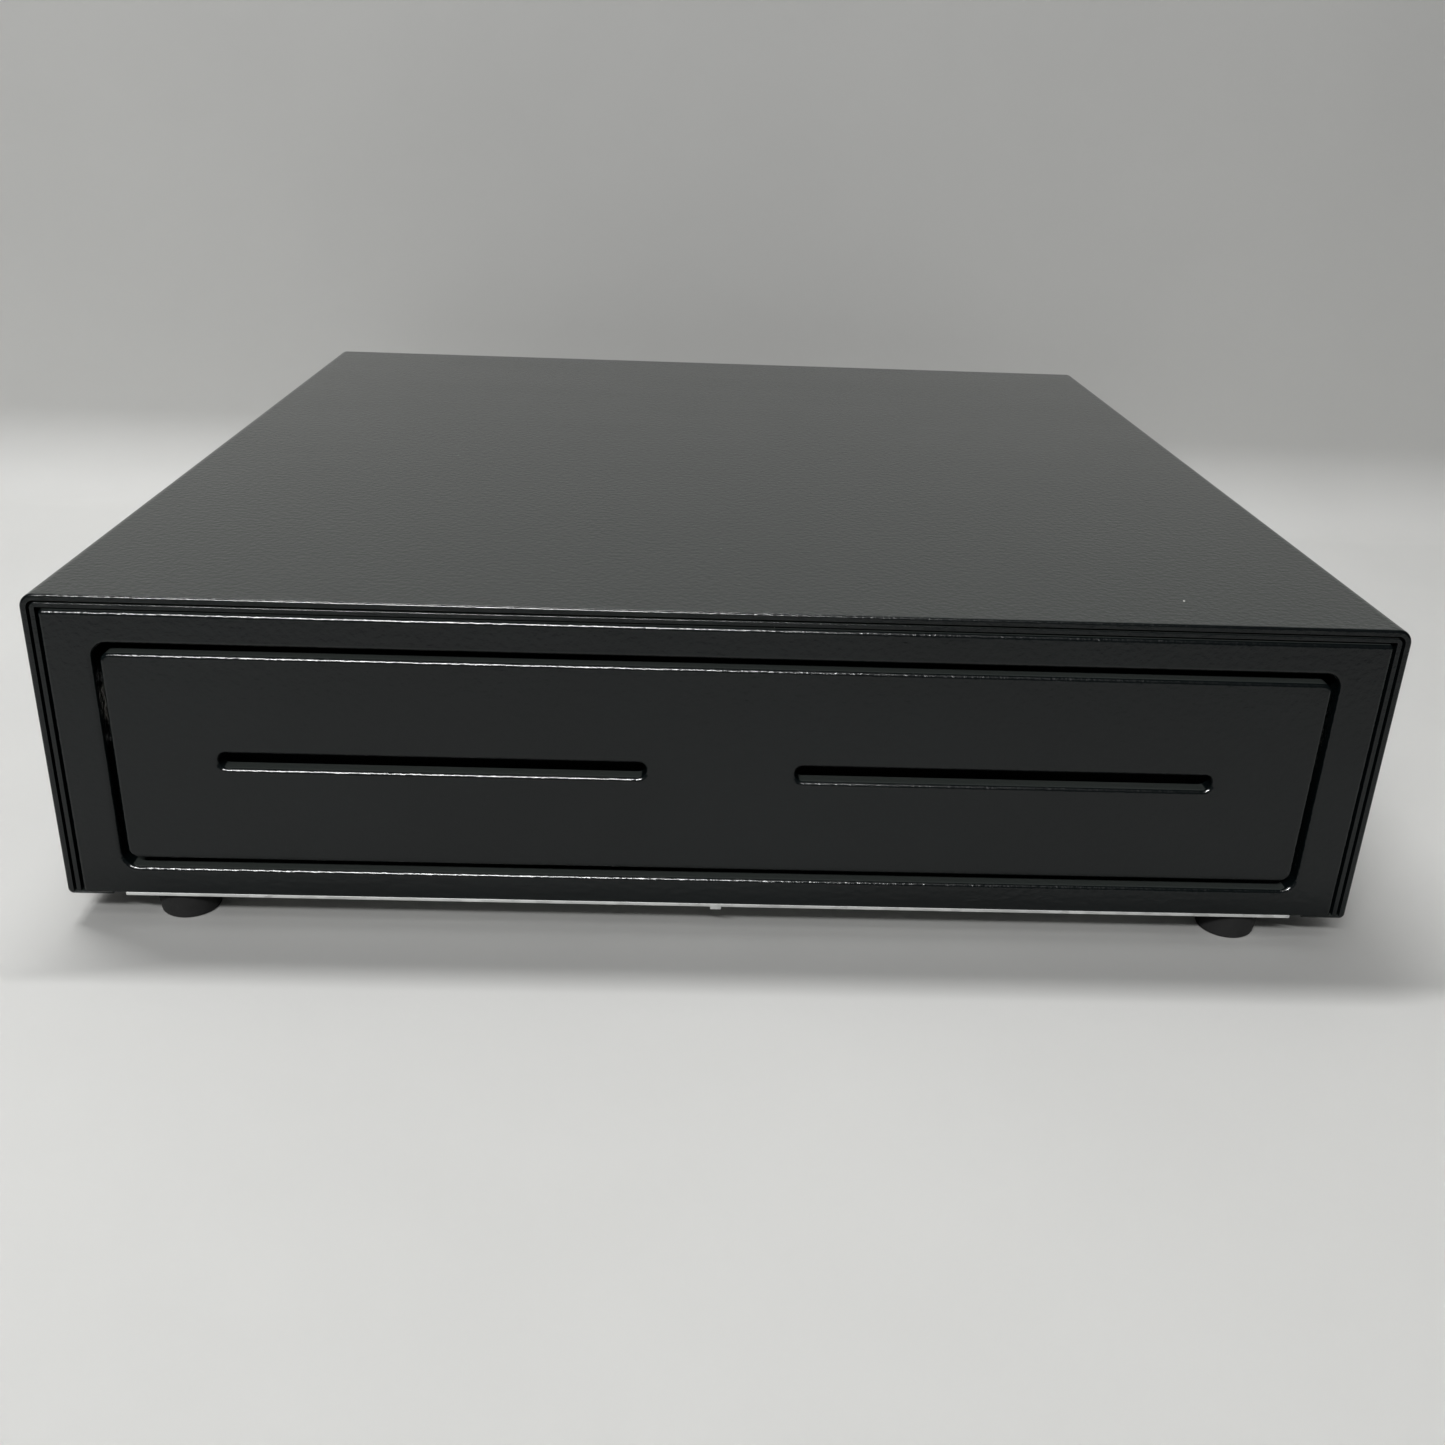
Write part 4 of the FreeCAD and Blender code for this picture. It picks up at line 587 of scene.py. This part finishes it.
def make_materials():
    """One material for each of the record's slots."""
    finish = bpy.context.scene.drawer_finish
    return {
        "black_paint": powder_coat(finish),
        "tray_paint": tray_coat(finish),
        "zinc_steel": spangled_zinc(finish),
        "fastener_steel": plated("plated_steel", finish.steel, 0.28, 0.42),
        "nickel_steel": plated("nickel", finish.nickel, 0.52, 0.62),
        "foot_rubber": moulded("rubber", finish.rubber, 0.62, 0.76, 0.6 * MM, 0.03 * MM, shine=0.2),
        "nylon": moulded("nylon", finish.nylon, 0.42, 0.52, 0.9 * MM, 0.015 * MM),
        "till_plastic": moulded("till_plastic", finish.till, 0.48, 0.6, 0.55 * MM, 0.04 * MM),
        "cup_plastic": moulded("cup_plastic", finish.cup, 0.34, 0.46, 0.7 * MM, 0.02 * MM),
        "coil_tape": wound_tape(finish),
        "switch_plastic": moulded("phenolic", finish.phenolic, 0.3, 0.4, 0.4 * MM, 0.015 * MM),
        "socket_plastic": moulded("socket_plastic", finish.jack, 0.4, 0.5, 0.4 * MM, 0.015 * MM),
    }


MATERIALS = {}


def material(slot):
    """A slot's material, all of which are made at the first call."""
    if not MATERIALS:
        MATERIALS.update(make_materials())
    return MATERIALS[slot]


# ---------------------------------------------------------------- pieces

class DRAWER_OT_cabinet(bpy.types.Operator):
    """Shell, front frame, bezel, base pan and rear panel"""
    bl_idname = "drawer.cabinet"
    bl_label = "Cabinet"

    def execute(self, context):
        edges = context.scene.drawer_edges
        for node in ("cabinet_shell", "front_frame", "front_bezel", "rear_panel"):
            refined(node, edges.sheet)
        refined("base_pan", edges.zinc)
        return {"FINISHED"}


class DRAWER_OT_feet(bpy.types.Operator):
    """Rubber feet"""
    bl_idname = "drawer.feet"
    bl_label = "Feet"

    def execute(self, context):
        refined("rubber_feet", context.scene.drawer_edges.turned)
        return {"FINISHED"}


class DRAWER_OT_drawer_box(bpy.types.Operator):
    """Drawer front, tray, media guide, till ledges and rails"""
    bl_idname = "drawer.drawer_box"
    bl_label = "Drawer box"

    def execute(self, context):
        edges = context.scene.drawer_edges
        for node in ("drawer_front", "drawer_tray", "media_guide"):
            refined(node, edges.sheet)
        for node in ("till_ledges", "drawer_rail_left", "drawer_rail_right"):
            refined(node, edges.zinc)
        return {"FINISHED"}


class DRAWER_OT_running_gear(bpy.types.Operator):
    """Tracks, their brackets, rollers, axles and rubber stops"""
    bl_idname = "drawer.running_gear"
    bl_label = "Running gear"

    def execute(self, context):
        edges = context.scene.drawer_edges
        for side in ("left", "right"):
            refined("rail_bracket_" + side, edges.zinc)
            refined("roller_track_" + side, edges.zinc)
            refined("front_roller_" + side, edges.turned)
            refined("rear_roller_" + side, edges.turned)
        for node in ("front_axles", "rear_axles", "stop_bumpers"):
            refined(node, edges.turned)
        return {"FINISHED"}


class DRAWER_OT_till(bpy.types.Operator):
    """Till tray, bill dividers and coin cups"""
    bl_idname = "drawer.till"
    bl_label = "Till"

    def execute(self, context):
        edges = context.scene.drawer_edges
        refined("till_tray", edges.moulded)
        for step in range(1, BAYS):
            refined(f"bill_divider_{step}", edges.moulded)
        for step in range(1, BAYS + 1):
            refined(f"coin_cup_{step}", edges.moulded)
        return {"FINISHED"}


class DRAWER_OT_bill_clips(bpy.types.Operator):
    """Bill clips, their rod and their coil springs"""
    bl_idname = "drawer.bill_clips"
    bl_label = "Bill clips"

    def execute(self, context):
        springs = context.scene.drawer_springs
        width = context.scene.drawer_edges.turned
        for step in range(1, BAYS + 1):
            refined(f"bill_clip_{step}", width)
        refined("clip_rod", width)
        low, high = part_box("clip_springs")
        first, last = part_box("bill_clip_1"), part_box(f"bill_clip_{BAYS}")
        pitch = (last[0].x - first[0].x) / (BAYS - 1)
        length = high.x - low.x - pitch * (BAYS - 1)
        coils = []
        for step in range(BAYS):
            start = Vector((low.x + step * pitch, low.y, low.z))
            end = Vector((start.x + length, high.y, high.z))
            coils.append(coil_between(start, end, "x", springs.clip_wire, springs.clip_turns))
        finish_piece(joined(coils), "clip_springs_coils", "clip_springs")
        return {"FINISHED"}


class DRAWER_OT_fasteners(bpy.types.Operator):
    """Screws and nuts"""
    bl_idname = "drawer.fasteners"
    bl_label = "Fasteners"

    def execute(self, context):
        width = context.scene.drawer_edges.turned
        for node in ("foot_nuts", "front_nuts", "rear_nuts", "foot_screws", "rear_screws"):
            refined(node, width)
        return {"FINISHED"}


class DRAWER_OT_latch(bpy.types.Operator):
    """Bracket, hook, pin, striker, solenoid and the plunger's spring"""
    bl_idname = "drawer.latch"
    bl_label = "Latch"

    def execute(self, context):
        edges = context.scene.drawer_edges
        springs = context.scene.drawer_springs
        for node in ("latch_bracket", "solenoid_frame"):
            refined(node, edges.zinc)
        for node in ("latch_pin", "latch_hook", "striker", "solenoid_plunger", "solenoid_coil"):
            refined(node, edges.turned)
        spring = coil("plunger_spring", "x", springs.plunger_wire, springs.plunger_turns)
        finish_spring(spring, "plunger_spring_coil", "plunger_spring")
        return {"FINISHED"}


class DRAWER_OT_switch_and_ejector(bpy.types.Operator):
    """Drawer-open switch, its lever, and the sprung ejector"""
    bl_idname = "drawer.switch_and_ejector"
    bl_label = "Switch and ejector"

    def execute(self, context):
        springs = context.scene.drawer_springs
        for node in ("drawer_switch", "switch_lever", "ejector_housing", "ejector_pin"):
            refined(node, context.scene.drawer_edges.turned)
        spring = coil("ejector_spring", "y", springs.ejector_wire, springs.ejector_turns)
        finish_spring(spring, "ejector_spring_coil", "ejector_spring")
        return {"FINISHED"}


class DRAWER_OT_socket(bpy.types.Operator):
    """Cable socket in the rear panel"""
    bl_idname = "drawer.socket"
    bl_label = "Cable socket"

    def execute(self, context):
        refined("cable_socket", context.scene.drawer_edges.zinc)
        return {"FINISHED"}


def make_paper(stage):
    """A sheet that runs forward as the floor and turns up into the wall behind."""
    bpy.ops.mesh.primitive_plane_add(size=2, location=(0, 0, 0))
    paper = bpy.context.active_object
    paper.name = "paper"
    paper.scale = (stage.reach, (stage.reach + stage.wall) / 2, 1)
    paper.location.y = (stage.wall - stage.reach) / 2
    bpy.ops.object.transform_apply(location=True, rotation=True, scale=True)
    bpy.ops.object.mode_set(mode="EDIT")
    bpy.ops.mesh.select_mode(type="EDGE")
    bpy.ops.mesh.select_all(action="DESELECT")
    bpy.ops.object.mode_set(mode="OBJECT")
    for edge in paper.data.edges:
        edge.select = all(paper.data.vertices[end].co.y > 0 for end in edge.vertices)
    bpy.ops.object.mode_set(mode="EDIT")
    bpy.ops.mesh.extrude_region_move(TRANSFORM_OT_translate={"value": (0, 0, stage.height)})
    bpy.ops.object.mode_set(mode="OBJECT")
    apply_modifier(paper, "BEVEL", width=stage.sweep, segments=PAPER_BEND_STEPS,
                   limit_method="ANGLE")
    bpy.ops.object.shade_smooth()
    work = Nodes("paper")
    blotch = work.span(work.noise(0.3, detail=4), NOISE_LOW, NOISE_HIGH)
    colour = work.blend(blotch, scaled(stage.pale, 0.96), scaled(stage.pale, 1.03))
    # The paper far in front is painted dark: painted shade, which the drawer's front reflects.
    nearness = work.span(work.parts_of(work.place)["Y"], SHADE_FULL, SHADE_FROM)
    colour = work.blend(nearness, stage.painted_shade, colour)
    roughness = work.span(work.noise(0.04), NOISE_LOW, NOISE_HIGH, 0.6, 0.75)
    paper.data.materials.append(work.shade(colour, roughness))
    work.clear_back()
    return paper


def add_lamp(name, placing, power):
    """A rectangular lamp, placed, aimed and sized by one of the rows at the top."""
    place, aim, size = placing
    bpy.ops.object.light_add(type="AREA", location=place)
    lamp = bpy.context.active_object
    lamp.name = name
    lamp.data.shape = "RECTANGLE"
    lamp.data.size, lamp.data.size_y = size
    lamp.data.energy = power
    lamp.rotation_euler = (Vector(aim) - Vector(place)).to_track_quat("-Z", "Y").to_euler()
    return lamp


def keep_off(lamp, thing):
    """Stops a lamp from lighting one thing."""
    skipped = bpy.data.collections.new(lamp.name + "_skips")
    skipped.objects.link(thing)
    skipped.collection_objects[0].light_linking.link_state = "EXCLUDE"
    lamp.light_linking.receiver_collection = skipped


def light_room(scene, strength):
    """An even, faint light from all round."""
    scene.world = bpy.data.worlds.new("room")
    scene.world.use_nodes = True
    shade = scene.world.node_tree.nodes["Background"]
    shade.inputs["Color"].default_value = ROOM_COLOUR
    shade.inputs["Strength"].default_value = strength


class DRAWER_OT_stage(bpy.types.Operator):
    """Pale paper, lamps and camera"""
    bl_idname = "drawer.stage"
    bl_label = "Stage"

    def execute(self, context):
        scene = context.scene
        stage = scene.drawer_stage
        bpy.ops.object.select_all(action="DESELECT")
        paper = make_paper(stage)
        add_lamp("long_lamp", LONG_LAMP, stage.key)
        add_lamp("front_lamp", FRONT_LAMP, stage.front)
        keep_off(add_lamp("edge_lamp", EDGE_LAMP, stage.glint), paper)
        add_lamp("wall_fill", WALL_FILL, stage.fill)
        light_room(scene, stage.sky)
        scene.view_settings.view_transform = "Standard"
        bpy.ops.object.camera_add(location=stage.eye, rotation=stage.turn)
        camera = bpy.context.active_object
        camera.name = "camera"
        camera.data.sensor_width = 36
        camera.data.lens = stage.lens
        camera.data.clip_start = 0.01
        scene.camera = camera
        return {"FINISHED"}


class DRAWER_PT_panel(bpy.types.Panel):
    """Lists the pieces of the cash drawer"""
    bl_idname = "DRAWER_PT_panel"
    bl_label = "Cash Drawer"
    bl_space_type = "VIEW_3D"
    bl_region_type = "UI"
    bl_category = "Cash Drawer"

    def draw(self, context):
        for operator in OPERATORS:
            self.layout.operator(operator.bl_idname)


SETTINGS = (
    ("drawer_edges", EdgeSettings),
    ("drawer_finish", FinishSettings),
    ("drawer_springs", SpringSettings),
    ("drawer_stage", StageSettings),
)
OPERATORS = (
    DRAWER_OT_cabinet, DRAWER_OT_feet, DRAWER_OT_drawer_box, DRAWER_OT_running_gear, DRAWER_OT_till,
    DRAWER_OT_bill_clips, DRAWER_OT_fasteners, DRAWER_OT_latch, DRAWER_OT_switch_and_ejector,
    DRAWER_OT_socket, DRAWER_OT_stage,
)


def register():
    """Adds the settings, the operators and the panel."""
    for name, settings in SETTINGS:
        bpy.utils.register_class(settings)
        setattr(bpy.types.Scene, name, PointerProperty(type=settings))
    for thing in (*OPERATORS, DRAWER_PT_panel):
        bpy.utils.register_class(thing)


def unregister():
    """Takes them away again, in the opposite order."""
    for thing in reversed((*OPERATORS, DRAWER_PT_panel)):
        bpy.utils.unregister_class(thing)
    for name, settings in reversed(SETTINGS):
        delattr(bpy.types.Scene, name)
        bpy.utils.unregister_class(settings)


def main():
    """Builds every piece and the stage."""
    register()
    for operator in OPERATORS:
        group, name = operator.bl_idname.split(".")
        getattr(getattr(bpy.ops, group), name)()


if __name__ == "__main__":
    main()
